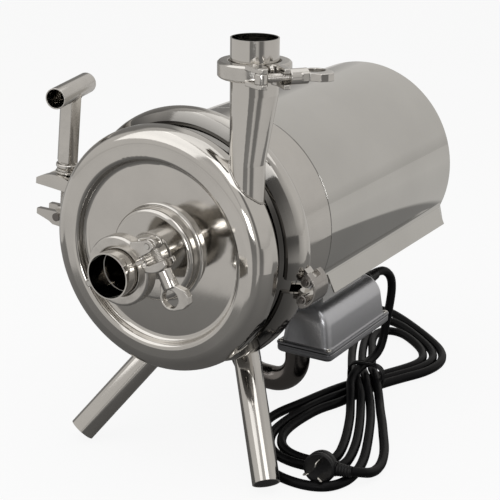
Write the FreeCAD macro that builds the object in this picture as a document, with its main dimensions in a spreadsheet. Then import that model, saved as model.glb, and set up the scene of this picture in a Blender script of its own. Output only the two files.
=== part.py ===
import FreeCAD, Part
import math
import os
import re

import Sketcher

# Circulation pump: a stainless centrifugal pump with a clamped casing, two 51 mm clamp ports,
# a shrouded motor, a terminal box, a tied supply cord, two front legs and one rear hoop.
# Frame: the origin is on the shaft line at the open end of the suction stub. -Y looks out of the
# suction port, the motor runs to +Y, the discharge rises along +Z on the +X side.

# Driving dimensions, in millimetres and degrees
SIZES = {
    # 51 mm hygienic tube and its 64 mm clamp ferrule
    "tube_radius": 25.5,
    "tube_wall": 1.5,
    "ferrule_radius": 32,
    "ferrule_rim": 2.85,
    "ferrule_slope": 20,
    "gasket_thick": 1.6,
    "suction_joint": 27,
    "discharge_joint": 212,
    "discharge_mouth": 244.2,
    "discharge_side": 34.9,
    "discharge_y": 119.6,
    # the discharge pipe narrows to a throat where it meets the casing
    "throat_radius": 19,
    "throat_shift_x": 3.6,
    "throat_shift_y": 6.6,
    "throat_foot": 62,
    "taper_top": 186,
    # casing bowl
    "shell": 2.5,
    "boss_front": 80.4,
    "boss_radius": 52.9,
    "boss_round": 6,
    "boss_foot": 4,
    "disc_front": 97.9,
    "disc_edge": 42.5,
    "rim_front": 85.1,
    "rim_round": 20,
    "bowl_radius": 140.5,
    "bowl_side": 7,
    "waist_depth": 12.5,
    "waist_start": 134,
    "clamp_rim_drop": 1,
    "bowl_rear": 161,
    "casing_seal": 2,
    "back_plate_thick": 4,
    "seal_bore": 22,
    "seal_hub": 36,
    "seal_hub_front": 3,
    "seal_hub_rear": 19,
    # band clamp
    "band_front": 141,
    "band_rear": 185,
    "band_lip_drop": 6.5,
    "band_rise": 10,
    "band_crest_half": 7,
    "band_wall": 3.5,
    "handle_turn": 6,
    "hinge_turn": 12,
    "ear_overhang": 30.5,
    "ear_width": 38,
    "ear_gap_top": 12.4,
    "ear_gap_bottom": 20,
    "bolt_offset": 32,
    "bolt_radius": 6,
    "bolt_top": 100,
    "pivot_drop": 23.5,
    "pivot_radius": 5,
    "eye_radius": 11,
    "eye_width": 16,
    "seat_radius": 53,
    "slot_play": 1,
    "running_play": 0.06,
    "seat_play": 0.3,
    "cheek_thick": 7,
    "washer_thick": 2.4,
    "washer_radius": 13.5,
    "neck_radius": 10.5,
    "neck_length": 11,
    "hex_flats": 23,
    "hex_length": 76,
    "cross_radius": 12.3,
    "cross_length": 86,
    "cross_turn": 13,
    "link_pin_radius": 3.2,
    "link_offset": 6,
    "link_pin_half": 11,
    "link_eye": 6,
    "link_width": 30,
    "link_strap": 3.5,
    "link_bow": 9,
    "tongue_width": 13,
    "hinge_gap_half": 4.5,
    # lantern between casing and motor
    "lantern_drop": 9.5,
    "lantern_wall": 4.5,
    "lantern_rim_thick": 6.5,
    "web_rear": 213,
    "web_thick": 8,
    "web_bore": 56,
    "seam": 254,
    "spigot_length": 14,
    "sheet": 1.6,
    "window_front": 236,
    "window_top": 60,
    # motor
    "flange_radius": 100,
    "frame_front": 230,
    "frame_rear": 470,
    "frame_bore": 74,
    "frame_core": 80,
    "fin_radius": 88,
    "fin_thick": 3.2,
    "fin_count": 30,
    "flange_bolt_circle": 184,
    "flange_bolt_radius": 4,
    "flange_bolt_head": 6.5,
    "bearing_radius": 31,
    "bearing_width": 16,
    "shaft_radius": 15,
    "stub_radius": 12,
    "thread_radius": 9,
    "shaft_front": 106,
    "fan_seat_radius": 10,
    "rotor_radius": 41.5,
    "air_gap": 0.5,
    "core_front": 285,
    "core_rear": 405,
    "winding_length": 26,
    "fan_front": 498,
    "fan_width": 22,
    "fan_radius": 68,
    "fan_blade": 2.5,
    # impeller
    "impeller_radius": 92,
    "impeller_rear": 150,
    "impeller_plate": 4,
    "vane_front": 106,
    "vane_thick": 3.5,
    "nut_radius": 14,
    # shroud
    "shroud_rear": 594,
    "skirt_turn": 67,
    "skirt_spread": 11.1,
    "skirt_drop": 23.3,
    "lip_relief": 11,
    "end_plate_inset": 4,
    "vent_inner": 34,
    "vent_outer": 92,
    "vent_width": 7,
    "vent_count": 20,
    "standoff_radius": 4,
    "standoff_circle": 74,
    # terminal box
    "box_left": 50,
    "box_right": 125,
    "box_front": 271,
    "box_back": 435,
    "box_flange_top": 155,
    "box_flange_thick": 3,
    "box_flange_width": 4,
    "box_top": 104,
    "box_flare_side": 6,
    "box_flare_end": 3.5,
    "box_corner": 11,
    "box_crown": 24,
    "box_end_crown": 9,
    "box_wall": 1.6,
    "box_seal": 1,
    "lid_depth": 10,
    "lid_round": 5,
    "screw_inset": 4,
    "neck_left": 66,
    "neck_right": 98,
    "neck_front": 300,
    "neck_back": 404,
    "gland_x": 90,
    "gland_y": 425.5,
    "gland_z": 118,
    "gland_radius": 9,
    "cord_radius": 5.8,
    # hank, tie and plug on the floor
    "hank_height": 12,
    "pile_height": 36,
    "pile_reach": 22,
    "climb_height": 24.5,
    "climb_reach": 50,
    "tie_x": 97,
    "tie_y": 431,
    "tie_turn": 8,
    "tie_length": 52,
    "tie_width": 13,
    "tie_thick": 2,
    "plug_x": 170,
    "plug_y": 171,
    "plug_turn": 8,
    "plug_tilt": 8,
    "plug_round": 3,
    "plug_radius": 18.5,
    "plug_depth": 22,
    "pin_length": 18,
    "pin_thick": 2,
    "pin_width": 8,
    "pin_circle": 10,
    # tri-clamps of the two ports
    "suction_turn": 28,
    "discharge_turn": 52,
    "clamp_radius": 38.8,
    "clamp_inner": 27.5,
    "clamp_half_width": 8.75,
    "clamp_split": 1.5,
    "clamp_ear_width": 21,
    "clamp_ear_end": 64,
    "clamp_bolt_x": 51.5,
    "clamp_bolt_radius": 4.6,
    "clamp_pivot": 12.7,
    "clamp_pivot_radius": 3,
    "clamp_eye_radius": 7,
    "clamp_eye_width": 11,
    "clamp_seat": 28.9,
    "clamp_fork_low": 7.8,
    "clamp_fork_high": 17.5,
    "clamp_hinge_x": 44,
    "clamp_hinge_radius": 5,
    "wing_barrel": 8.2,
    "wing_length": 46,
    "wing_thick": 8.5,
    "wing_eye_along": 31,
    "wing_eye_out": -4.8,
    "wing_eye_hole": 10,
    "wing_eye_rim": 12.8,
    # supports
    "leg_radius": 16,
    "leg_wall": 2,
    "foot_x": 129.4,
    "foot_y": 115.1,
    "foot_z": 256.8,
    "leg_in": 0.66,
    "leg_back": 0.70,
    "leg_length": 200,
    "leg_plug": 6,
    "floor": 267.9,
    "hoop_x": -13,
    "hoop_y": 364,
    "hoop_half": 43,
    "hoop_bend": 36,
    "hoop_top": 98,
    "saddle_half_y": 26,
    "saddle_top": 74,
}

# Lengths that follow from the driving ones
FORMULAS = {
    "bore_radius": "tube_radius - tube_wall",
    "suction_face": "suction_joint - gasket_thick / 2",
    "neck_face": "suction_joint + gasket_thick / 2",
    "ferrule_back": "ferrule_rim + (ferrule_radius - tube_radius) * tan(ferrule_slope)",
    "pipe_face": "discharge_joint - gasket_thick / 2",
    "stub_face": "discharge_joint + gasket_thick / 2",
    "throat_bore": "throat_radius - tube_wall",
    "disc_radius": "bowl_radius - disc_edge",
    "rim_outer": "bowl_radius - rim_round",
    "waist_radius": "bowl_radius - waist_depth",
    "clamp_rim_radius": "bowl_radius - clamp_rim_drop",
    "discharge_x": "bowl_radius - discharge_side",
    "throat_x": "discharge_x - throat_shift_x",
    "throat_y": "discharge_y - throat_shift_y",
    "throat_top": "sqrt(bowl_radius^2 - (throat_x - throat_radius)^2) - 1.3",
    "band_lip": "bowl_radius - band_lip_drop",
    "band_lip_outer": "band_lip + band_wall",
    "band_crest": "bowl_radius + band_rise",
    "bolt_reach": "band_crest + bolt_offset",
    "ear_reach": "bolt_reach + ear_overhang",
    "link_pin_x": "band_crest + link_offset",
    "lantern_radius": "bowl_radius - lantern_drop",
    "bend_x": "lantern_radius * sin(skirt_turn)",
    "lip_x": "bend_x + skirt_spread",
    "lip_z": "lantern_radius * cos(skirt_turn) + skirt_drop",
    "lip_front": "seam + lip_relief",
    "lip_rear": "shroud_rear - lip_relief",
    "band_slope": "(band_crest - band_wall - band_lip) / (crest_front + 1 - band_front - band_wall)",
    "rim_edge_front": "band_front + band_wall + (clamp_rim_radius - band_lip) / band_slope",
    "rim_edge_rear": "band_rear - band_wall - (clamp_rim_radius - band_lip) / band_slope",
    "plate_front": "bowl_rear + casing_seal",
    "plate_rear": "plate_front + back_plate_thick",
    "rim_step": "(disc_front - rim_front) / 2",
    "side_end": "rim_front + bowl_radius - rim_outer + bowl_side",
    "waist_step": "bowl_radius - waist_radius",
    "waist_run": "waist_start - side_end",
    "waist_bend": "(waist_step * waist_step + waist_run * waist_run) / (4 * waist_step)",
    "waist_mid_r": "(bowl_radius + waist_radius) / 2",
    "waist_mid_y": "(side_end + waist_start) / 2",
    "band_mid": "(band_front + band_rear) / 2",
    "crest_front": "band_mid - band_crest_half",
    "crest_rear": "band_mid + band_crest_half",
    "lantern_bore": "lantern_radius - lantern_wall",
    "spigot_radius": "lantern_radius - sheet - 0.1",
    "shaft_rear": "fan_front + fan_width",
    "bearing_back": "web_rear + 1 + bearing_width",
    "seat_top": "seat_radius - pivot_drop",
    "washer_seat": "seat_top + seat_play",
    "neck_seat": "washer_seat + washer_thick",
    "hex_seat": "neck_seat + neck_length",
    "cross_height": "hex_seat + hex_length + cross_radius - 1.5",
    "lid_top": "box_flange_top + box_flange_thick + box_seal",
    "lid_bottom": "lid_top + lid_depth",
    "tub_left": "box_left + box_flange_width",
    "tub_right": "box_right - box_flange_width",
    "tub_front": "box_front + box_flange_width",
    "tub_back": "box_back - box_flange_width",
    "end_plate_rear": "shroud_rear - end_plate_inset",
    "shroud_bore": "lantern_radius - sheet",
    "plug_height": "plug_round + (plug_radius - plug_round) * cos(plug_tilt) + (plug_depth / 2 - plug_round) * sin(plug_tilt)",
}

doc = FreeCAD.newDocument("circulation_pump")
sheet = doc.addObject("Spreadsheet::Sheet", "Dims")
for row, (alias, value) in enumerate(SIZES.items(), start=1):
    sheet.set(f"A{row}", alias.replace("_", " "))
    sheet.set(f"B{row}", str(value))
    sheet.setAlias(f"B{row}", alias)
doc.recompute()

Vector = FreeCAD.Vector
NODES = {}


def bind(text):
    """Turn a size expression into one that reads the sheet."""
    def swap(match):
        word = match.group(0)
        if word in FORMULAS:
            return "(" + bind(FORMULAS[word]) + ")"
        if word in SIZES:
            return "Dims." + word
        return word
    return re.sub(r"[a-z_]*[a-z]", swap, str(text))


def number(text):
    """The value of a size expression."""
    return float(sheet.evalExpression(bind(text)))


def keep(name, shape_object):
    """Name an object as a sub-part that is written out."""
    shape_object.Label = name
    NODES[name] = shape_object
    return shape_object


def tie(target, prop, text):
    """Bind one property of an object to the sheet."""
    target.setExpression(prop, bind(text))


def place(target, x="0", y="0", z="0", axis=None, turn="0"):
    """Put an object at a bound place, turned about an axis through that place."""
    if axis is not None:
        target.Placement = FreeCAD.Placement(Vector(0, 0, 0), FreeCAD.Rotation(Vector(*axis), 10))
        tie(target, "Placement.Rotation.Angle", turn)
    tie(target, "Placement.Base.x", x)
    tie(target, "Placement.Base.y", y)
    tie(target, "Placement.Base.z", z)
    return target


def new_body(name):
    return doc.addObject("PartDesign::Body", name + "_body")


def arc_centre(start, end, radius, side, large):
    """Centre of an arc that turns left (side 1) or right (side -1) from start to end."""
    middle = (start + end) * 0.5
    chord = end - start
    reach = math.sqrt(max(radius ** 2 - (chord.Length / 2) ** 2, 0))
    across = Vector(-chord.y, chord.x, 0).normalize()
    return middle + across * reach * side * (-1 if large else 1)


def draw_loop(sketch, corners):
    """A closed loop of corners (x, y) or (x, y, radius, side[, large]), the last kind starting an arc."""
    points = [Vector(number(corner[0]), number(corner[1]), 0) for corner in corners]
    first = sketch.GeometryCount
    starts, ends = [], []
    for index, corner in enumerate(corners):
        here, following = points[index], points[(index + 1) % len(points)]
        if len(corner) == 2:
            sketch.addGeometry(Part.LineSegment(here, following), False)
            starts.append(1)
            ends.append(2)
            continue
        radius, side = number(corner[2]), corner[3]
        centre = arc_centre(here, following, radius, side, len(corner) == 5)
        low, high = (here, following) if side > 0 else (following, here)
        from_angle = math.atan2(low.y - centre.y, low.x - centre.x)
        to_angle = math.atan2(high.y - centre.y, high.x - centre.x)
        if to_angle <= from_angle:
            to_angle += 2 * math.pi
        circle = Part.Circle(centre, Vector(0, 0, 1), radius)
        sketch.addGeometry(Part.ArcOfCircle(circle, from_angle, to_angle), False)
        starts.append(1 if side > 0 else 2)
        ends.append(2 if side > 0 else 1)
    for index in range(len(corners)):
        following = (index + 1) % len(corners)
        sketch.addConstraint(Sketcher.Constraint(
            "Coincident", first + index, ends[index], first + following, starts[following]))
    for index, corner in enumerate(corners):
        for kind, text, value in (("DistanceX", corner[0], points[index].x),
                                  ("DistanceY", corner[1], points[index].y)):
            mark = sketch.addConstraint(Sketcher.Constraint(kind, first + index, starts[index], value))
            tie(sketch, f"Constraints[{mark}]", text)
        if len(corner) > 2:
            mark = sketch.addConstraint(Sketcher.Constraint("Radius", first + index, number(corner[2])))
            tie(sketch, f"Constraints[{mark}]", corner[2])


def draw_circle(sketch, x, y, radius):
    first = sketch.addGeometry(Part.Circle(Vector(number(x), number(y), 0), Vector(0, 0, 1), number(radius)))
    for kind, text in (("DistanceX", x), ("DistanceY", y)):
        mark = sketch.addConstraint(Sketcher.Constraint(kind, first, 3, number(text)))
        tie(sketch, f"Constraints[{mark}]", text)
    mark = sketch.addConstraint(Sketcher.Constraint("Radius", first, number(radius)))
    tie(sketch, f"Constraints[{mark}]", radius)


def new_sketch(body, plane="XY_Plane", lift="0", loops=(), circles=()):
    """A sketch on one of the body's own planes. lift is measured along the plane's normal."""
    sketch = body.newObject("Sketcher::SketchObject", body.Name + "_sketch")
    support = [feature for feature in body.Origin.OriginFeatures if feature.Role == plane][0]
    sketch.AttachmentSupport = [(support, "")]
    sketch.MapMode = "FlatFace"
    tie(sketch, "AttachmentOffset.Base.z", lift)
    for corners in loops:
        draw_loop(sketch, corners)
    for circle in circles:
        draw_circle(sketch, *circle)
    return sketch


def spin(name, *loops, plane="XY_Plane"):
    """A turned piece. On the XY plane the corners are (radius, place along Y)."""
    body = new_body(name)
    sketch = new_sketch(body, plane, loops=loops)
    turned = body.newObject("PartDesign::Revolution", name + "_turned")
    turned.Profile = sketch
    turned.ReferenceAxis = (sketch, ["V_Axis"])
    turned.Angle = 360
    return body


def extrude(body, sketch, length, midplane=False, backwards=False):
    pad = body.newObject("PartDesign::Pad", body.Name + "_pad")
    pad.Profile = sketch
    tie(pad, "Length", length)
    if midplane:
        pad.SideType = "Symmetric"
    pad.Reversed = backwards
    return pad


def plate(name, loops, middle, width, circles=()):
    """A piece with one outline in the XZ plane, its width centred on a place along Y."""
    body = new_body(name)
    sketch = new_sketch(body, "XZ_Plane", "-(" + str(middle) + ")", loops, circles)
    extrude(body, sketch, width, midplane=True)
    return body


def cylinder(name, radius, length, x="0", y="0", z="0", axis=None, turn="90"):
    rod = doc.addObject("Part::Cylinder", name)
    tie(rod, "Radius", radius)
    tie(rod, "Height", length)
    return place(rod, x, y, z, axis, turn)


def rod_along_y(name, radius, start, length, x="0", z="0"):
    return cylinder(name, radius, length, x, start, z, (1, 0, 0), "-90")


def block(name, x0, x1, y0, y1, z0, z1):
    box = doc.addObject("Part::Box", name)
    for prop, low, high in (("Length", x0, x1), ("Width", y0, y1), ("Height", z0, z1)):
        tie(box, prop, f"({high}) - ({low})")
    return place(box, x0, y0, z0)


def cut(name, base, *tools):
    result = base
    for index, tool in enumerate(tools):
        step = doc.addObject("Part::Cut", f"{name}_cut_{index}")
        step.Base = result
        step.Tool = tool
        result = step
    return result


def fuse(name, *pieces):
    joined = doc.addObject("Part::MultiFuse", name + "_fused")
    joined.Shapes = list(pieces)
    joined.Refine = True
    return joined


def common(name, first, second):
    shared = doc.addObject("Part::Common", name + "_common")
    shared.Base = first
    shared.Tool = second
    return shared


def group(name, pieces):
    together = doc.addObject("Part::Compound", name + "_group")
    together.Links = list(pieces)
    return together


# Ports: each has a stub, a gasket and the ferrule of the pipe behind it
def ferrule_stub(name, mouth, face):
    """A tube that ends in a clamp ferrule, its open end at mouth and its sealing face at face."""
    return spin(name, [
        ("bore_radius", mouth), ("tube_radius", mouth),
        ("tube_radius", f"{face} - ferrule_back"), ("ferrule_radius", f"{face} - ferrule_rim"),
        ("ferrule_radius", face), ("bore_radius", face)])


def port_gasket(name, joint):
    return spin(name, [
        ("bore_radius", f"{joint} - gasket_thick / 2"), ("ferrule_radius - 0.5", f"{joint} - gasket_thick / 2"),
        ("ferrule_radius - 0.5", f"{joint} + gasket_thick / 2"), ("bore_radius", f"{joint} + gasket_thick / 2")])


def suction_port():
    keep("suction_stub", ferrule_stub("suction_stub", "0", "suction_face"))
    keep("suction_gasket", port_gasket("suction_gasket", "suction_joint"))
    keep("suction_neck", spin("suction_neck", [
        ("bore_radius", "neck_face"), ("ferrule_radius", "neck_face"),
        ("ferrule_radius", "neck_face + ferrule_rim"), ("tube_radius", "neck_face + ferrule_back"),
        ("tube_radius", "boss_front + shell"), ("bore_radius", "boss_front + shell")]))


def discharge_port(bowl_solid):
    # the stub and gasket are turned about Z, so their XZ sketches carry (radius, height)
    stub = spin("discharge_stub", [
        ("bore_radius", "discharge_mouth"), ("tube_radius", "discharge_mouth"),
        ("tube_radius", "stub_face + ferrule_back"), ("ferrule_radius", "stub_face + ferrule_rim"),
        ("ferrule_radius", "stub_face"), ("bore_radius", "stub_face")], plane="XZ_Plane")
    keep("discharge_stub", place(stub, "discharge_x", "discharge_y"))
    gasket = spin("discharge_gasket", [
        ("bore_radius", "pipe_face"), ("ferrule_radius - 0.5", "pipe_face"),
        ("ferrule_radius - 0.5", "stub_face"), ("bore_radius", "stub_face")], plane="XZ_Plane")
    keep("discharge_gasket", place(gasket, "discharge_x", "discharge_y"))
    head = spin("discharge_head", [
        ("bore_radius", "pipe_face"), ("ferrule_radius", "pipe_face"),
        ("ferrule_radius", "pipe_face - ferrule_rim"), ("tube_radius", "pipe_face - ferrule_back"),
        ("tube_radius", "taper_top"), ("bore_radius", "taper_top")], plane="XZ_Plane")
    place(head, "discharge_x", "discharge_y")
    outside = taper("discharge_taper", "tube_radius", "throat_radius")
    inside = taper("discharge_taper_bore", "bore_radius", "throat_bore")
    rise = "throat_top - throat_foot"
    tail = cylinder("discharge_tail", "throat_radius", rise, "throat_x", "throat_y", "throat_foot")
    tail_bore = cylinder("discharge_tail_bore", "throat_bore", rise, "throat_x", "throat_y", "throat_foot")
    walls = fuse("discharge_walls", head, cut("discharge_taper", outside, inside),
                 cut("discharge_tail", tail, tail_bore))
    keep("discharge_pipe", cut("discharge_pipe", walls, bowl_solid))


def taper(name, top_radius, bottom_radius):
    """The eccentric reducer of the discharge: its front left side stays straight."""
    body = new_body(name)
    low = new_sketch(body, lift="throat_top", circles=[("throat_x", "throat_y", bottom_radius)])
    high = new_sketch(body, lift="taper_top", circles=[("discharge_x", "discharge_y", top_radius)])
    loft = body.newObject("PartDesign::AdditiveLoft", name + "_loft")
    loft.Profile = low
    loft.Sections = [high]
    return body


# Casing
BOWL_OUTSIDE = [
    ("boss_radius - boss_round", "boss_front", "boss_round", 1),
    ("boss_radius", "boss_front + boss_round"),
    ("boss_radius", "disc_front - boss_foot", "boss_foot", -1),
    ("boss_radius + boss_foot", "disc_front"),
    ("disc_radius", "disc_front", "rim_step", -1),
    ("disc_radius + rim_step", "disc_front - rim_step", "rim_step", 1),
    ("disc_radius + 2 * rim_step", "rim_front"),
    ("rim_outer", "rim_front", "bowl_radius - rim_outer", 1),
    ("bowl_radius", "rim_front + bowl_radius - rim_outer"),
    ("bowl_radius", "side_end", "waist_bend", 1),
    ("waist_mid_r", "waist_mid_y", "waist_bend", -1),
    ("waist_radius", "waist_start"),
    ("waist_radius", "rim_edge_front - (clamp_rim_radius - waist_radius) / band_slope"),
    ("clamp_rim_radius", "rim_edge_front"),
    ("clamp_rim_radius", "bowl_rear"),
]


def casing():
    bowl = spin("casing_bowl", [("tube_radius", "boss_front")] + BOWL_OUTSIDE + [
        ("waist_radius - shell", "bowl_rear"),
        ("waist_radius - shell", "waist_start", "waist_bend + shell", 1),
        ("waist_mid_r - shell * sqrt(1 - (waist_run / 2 / waist_bend)^2)",
         "waist_mid_y - shell * waist_run / 2 / waist_bend", "waist_bend - shell", -1),
        ("bowl_radius - shell", "side_end"),
        ("bowl_radius - shell", "rim_front + bowl_radius - rim_outer", "bowl_radius - rim_outer - shell", -1),
        ("rim_outer", "rim_front + shell"),
        ("disc_radius + 2 * rim_step", "rim_front + shell", "rim_step - shell", -1),
        ("disc_radius + rim_step + shell", "disc_front - rim_step", "rim_step + shell", 1),
        ("disc_radius", "disc_front + shell"),
        ("boss_radius + boss_foot", "disc_front + shell", "boss_foot + shell", 1),
        ("boss_radius - shell", "disc_front - boss_foot"),
        ("boss_radius - shell", "boss_front + boss_round", "boss_round - shell", -1),
        ("boss_radius - boss_round", "boss_front + shell"),
        ("tube_radius", "boss_front + shell")])
    port = cylinder("bowl_port", "throat_bore", "throat_top", "throat_x", "throat_y", "throat_foot")
    keep("casing_bowl", cut("casing_bowl", bowl, port))
    solid = spin("bowl_solid", [("0", "boss_front")] + BOWL_OUTSIDE + [("0", "bowl_rear")])
    discharge_port(solid)
    keep("casing_gasket", spin("casing_gasket", [
        ("waist_radius - shell", "bowl_rear"), ("clamp_rim_radius - 3", "bowl_rear"),
        ("clamp_rim_radius - 3", "plate_front"), ("waist_radius - shell", "plate_front")]))
    keep("back_plate", spin("back_plate", [
        ("seal_bore", "plate_front - seal_hub_front"), ("seal_hub", "plate_front - seal_hub_front"),
        ("seal_hub", "plate_front"), ("clamp_rim_radius", "plate_front"), ("clamp_rim_radius", "plate_rear"),
        ("seal_hub + 8", "plate_rear"), ("seal_hub", "plate_rear + 8"), ("seal_hub", "plate_front + seal_hub_rear"),
        ("seal_bore", "plate_front + seal_hub_rear")]))
    keep("seal_seat", spin("seal_seat", [
        ("stub_radius + 1", "plate_front - seal_hub_front"), ("seal_bore", "plate_front - seal_hub_front"),
        ("seal_bore", "plate_front + 5"), ("stub_radius + 1", "plate_front + 5")]))


# Band clamp round the casing
def half_plane(name, above):
    """All that lies above the two splits of the band, or below them."""
    side = 1 if above else -1
    far = 400
    left_gap = "ear_gap_top" if above else "-ear_gap_bottom"
    left_edge = f"{far} * tan(handle_turn) + ({left_gap}) / cos(handle_turn)"
    right_edge = f"-{far} * tan(hinge_turn) + {side} * hinge_gap_half / cos(hinge_turn)"
    return plate(name, [[(str(-far), left_edge), ("0", str(side * 10)), (str(far), right_edge),
                         (str(far), str(side * far)), (str(-far), str(side * far))]], "band_mid", "3 * ear_width")


def band_section(name):
    return spin(name, [
        ("band_lip", "band_front"), ("band_lip_outer", "band_front"),
        ("band_crest", "crest_front"), ("band_crest", "crest_rear"),
        ("band_lip_outer", "band_rear"), ("band_lip", "band_rear"),
        ("band_lip", "band_rear - band_wall"), ("band_crest - band_wall", "crest_rear - 1"),
        ("band_crest - band_wall", "crest_front + 1"), ("band_lip", "band_front + band_wall")])


def on_handle_side(piece):
    return place(piece, "0", "band_mid", "0", (0, 1, 0), "handle_turn")


def on_hinge_side(piece):
    return place(piece, "0", "band_mid", "0", (0, 1, 0), "hinge_turn")


def bolt_slot(name):
    """The open slot that lets the swing bolt leave the upper ear."""
    width = "2 * (bolt_radius + slot_play)"
    body = plate(name, [[("-ear_reach - 5", "0"), ("-bolt_reach", "0"), ("-bolt_reach", "seat_radius"),
                         ("-ear_reach - 5", "seat_radius")]], "0", width)
    end = cylinder(name + "_end", "bolt_radius + slot_play", "seat_radius", "-bolt_reach")
    return on_handle_side(fuse(name, body, end))


def band_clamp():
    inner = "min(band_crest - band_wall; bolt_reach - ear_overhang - 1)"
    edge_height = "sqrt(seat_radius^2 - ear_overhang^2) - pivot_drop"
    upper_ear = on_handle_side(plate("upper_ear", [[
        (f"-{inner}", "ear_gap_top"), (f"-{inner}", edge_height),
        ("-(bolt_reach - ear_overhang)", edge_height, "seat_radius", 1),
        ("-ear_reach", edge_height), ("-ear_reach", "ear_gap_top")]], "0", "ear_width"))
    upper_tongue = on_hinge_side(plate("upper_tongue", [[
        ("band_crest - band_wall", "hinge_gap_half"), ("link_pin_x", "link_pin_half - link_eye + 1"),
        ("link_pin_x", "link_pin_half + link_eye - 1"), ("band_crest - band_wall", "link_pin_half + 2 * link_eye")]],
        "0", "tongue_width"))
    upper_knuckle = on_hinge_side(plate("upper_knuckle", [], "0", "tongue_width",
                                        [("link_pin_x", "link_pin_half", "link_eye")]))
    upper_bore = on_hinge_side(plate("upper_knuckle_bore", [], "0", "2 * link_width",
                                     [("link_pin_x", "link_pin_half", "link_pin_radius")]))
    ring_above = common("band_above", band_section("band_ring_above"), half_plane("above_split", True))
    upper = fuse("upper_band", ring_above, upper_ear, upper_tongue, upper_knuckle)
    inside = spin("band_inside", [("0", "band_front - 20"), ("band_lip", "band_front - 20"),
                                  ("band_lip", "band_front + band_wall"),
                                  ("band_crest - band_wall", "crest_front + 1"),
                                  ("band_crest - band_wall", "crest_rear - 1"),
                                  ("band_lip", "band_rear - band_wall"), ("band_lip", "band_rear + 20"),
                                  ("0", "band_rear + 20")])
    keep("upper_band", cut("upper_band", upper, inside, bolt_slot("upper_slot"), upper_bore))

    cheeks = []
    for side, label in ((-1, "front"), (1, "rear")):
        middle = f"{side} * (eye_width / 2 + running_play + cheek_thick / 2)"
        cheeks.append(on_handle_side(plate(f"{label}_cheek", [[
            (f"-{inner}", "-ear_gap_bottom + 6"), ("-bolt_reach + 12", "-ear_gap_bottom + 4"),
            ("-ear_reach", "-ear_gap_bottom"), ("-ear_reach", "-ear_gap_bottom - cheek_thick"),
            ("-bolt_reach - 12", "-pivot_drop - 8"), ("-bolt_reach - 6", "-pivot_drop - eye_radius"),
            ("-bolt_reach + 6", "-pivot_drop - eye_radius"), (f"-{inner} + 6", "-pivot_drop - 2 * eye_radius")]],
            middle, "cheek_thick")))
    lower_tongue = on_hinge_side(plate("lower_tongue", [[
        ("band_crest - band_wall", "-hinge_gap_half"), ("band_crest - band_wall", "-link_pin_half - 2 * link_eye"),
        ("link_pin_x", "-link_pin_half - link_eye + 1"), ("link_pin_x", "-link_pin_half + link_eye - 1")]],
        "0", "tongue_width"))
    lower_knuckle = on_hinge_side(plate("lower_knuckle", [], "0", "tongue_width",
                                        [("link_pin_x", "-link_pin_half", "link_eye")]))
    lower_bore = on_hinge_side(plate("lower_knuckle_bore", [], "0", "2 * link_width",
                                     [("link_pin_x", "-link_pin_half", "link_pin_radius")]))
    pivot_bore = on_handle_side(plate("pivot_bore", [], "0", "2 * ear_width",
                                      [("-bolt_reach", "-pivot_drop", "pivot_radius")]))
    ring_below = common("band_below", band_section("band_ring_below"), half_plane("below_split", False))
    lower = fuse("lower_band", ring_below, *cheeks, lower_tongue, lower_knuckle)
    keep("lower_band", cut("lower_band", lower, inside, pivot_bore, lower_bore))
    pivot_length = "eye_width + 2 * running_play + 2 * cheek_thick + 5"
    pivot = on_handle_side(plate("band_bolt_pin", [], "0", pivot_length,
                                 [("-bolt_reach", "-pivot_drop", "pivot_radius")]))
    keep("band_pins", group("band_pins", [pivot, hinge_link()]))


def hinge_link():
    """The bowed strap that joins the two halves of the band, with its two pins."""
    bow, strap = "link_bow", "link_strap"
    reach = f"link_pin_half + link_eye + {bow} / 2"
    outer = f"(({reach})^2 + ({bow} + link_eye)^2) / (2 * ({bow} + link_eye))"
    outside = [("link_pin_x", f"-({reach})", outer, 1), ("link_pin_x", reach)]
    top, bottom = f"{reach} - {strap}", f"-({reach}) + {strap}"
    strap_body = plate("link_strap_outline", [outside + [("link_pin_x", top, f"{outer} - {strap}", -1),
                                                         ("link_pin_x", bottom)]], "0", "link_width")
    eyes = [plate("link_eye_up", [], "0", "link_width", [("link_pin_x", "link_pin_half", "link_eye")]),
            plate("link_eye_down", [], "0", "link_width", [("link_pin_x", "-link_pin_half", "link_eye")])]
    arms = [plate("link_arm_up", [[("link_pin_x - 3", "link_pin_half + 3"), ("link_pin_x + 5", "link_pin_half + 3"),
                                   ("link_pin_x + 5", top), ("link_pin_x", reach), ("link_pin_x - 3", top)]],
                  "0", "link_width"),
            plate("link_arm_down", [[("link_pin_x - 3", "-link_pin_half - 3"), ("link_pin_x - 3", bottom),
                                     ("link_pin_x", f"-({reach})"), ("link_pin_x + 5", bottom),
                                     ("link_pin_x + 5", "-link_pin_half - 3")]], "0", "link_width")]
    solid = fuse("band_link_solid", strap_body, *eyes, *arms)
    notch = block("link_notch", "link_pin_x - 20", "link_pin_x + link_eye + 0.4", "-tongue_width / 2 - 0.2",
                  "tongue_width / 2 + 0.2", "-link_pin_half - 3 * link_eye", "link_pin_half + 3 * link_eye")
    bores = [rod_along_y("link_bore_up", "link_pin_radius", "-link_width", "2 * link_width", "link_pin_x",
                         "link_pin_half"),
             rod_along_y("link_bore_down", "link_pin_radius", "-link_width", "2 * link_width", "link_pin_x",
                         "-link_pin_half")]
    keep("band_link", on_hinge_side(cut("band_link", solid, notch, *bores)))
    pins = [rod_along_y("link_pin_up", "link_pin_radius", "-link_width / 2 - 2", "link_width + 4", "link_pin_x",
                        "link_pin_half"),
            rod_along_y("link_pin_down", "link_pin_radius", "-link_width / 2 - 2", "link_width + 4", "link_pin_x",
                        "-link_pin_half")]
    return on_hinge_side(group("band_link_pins", pins))


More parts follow.
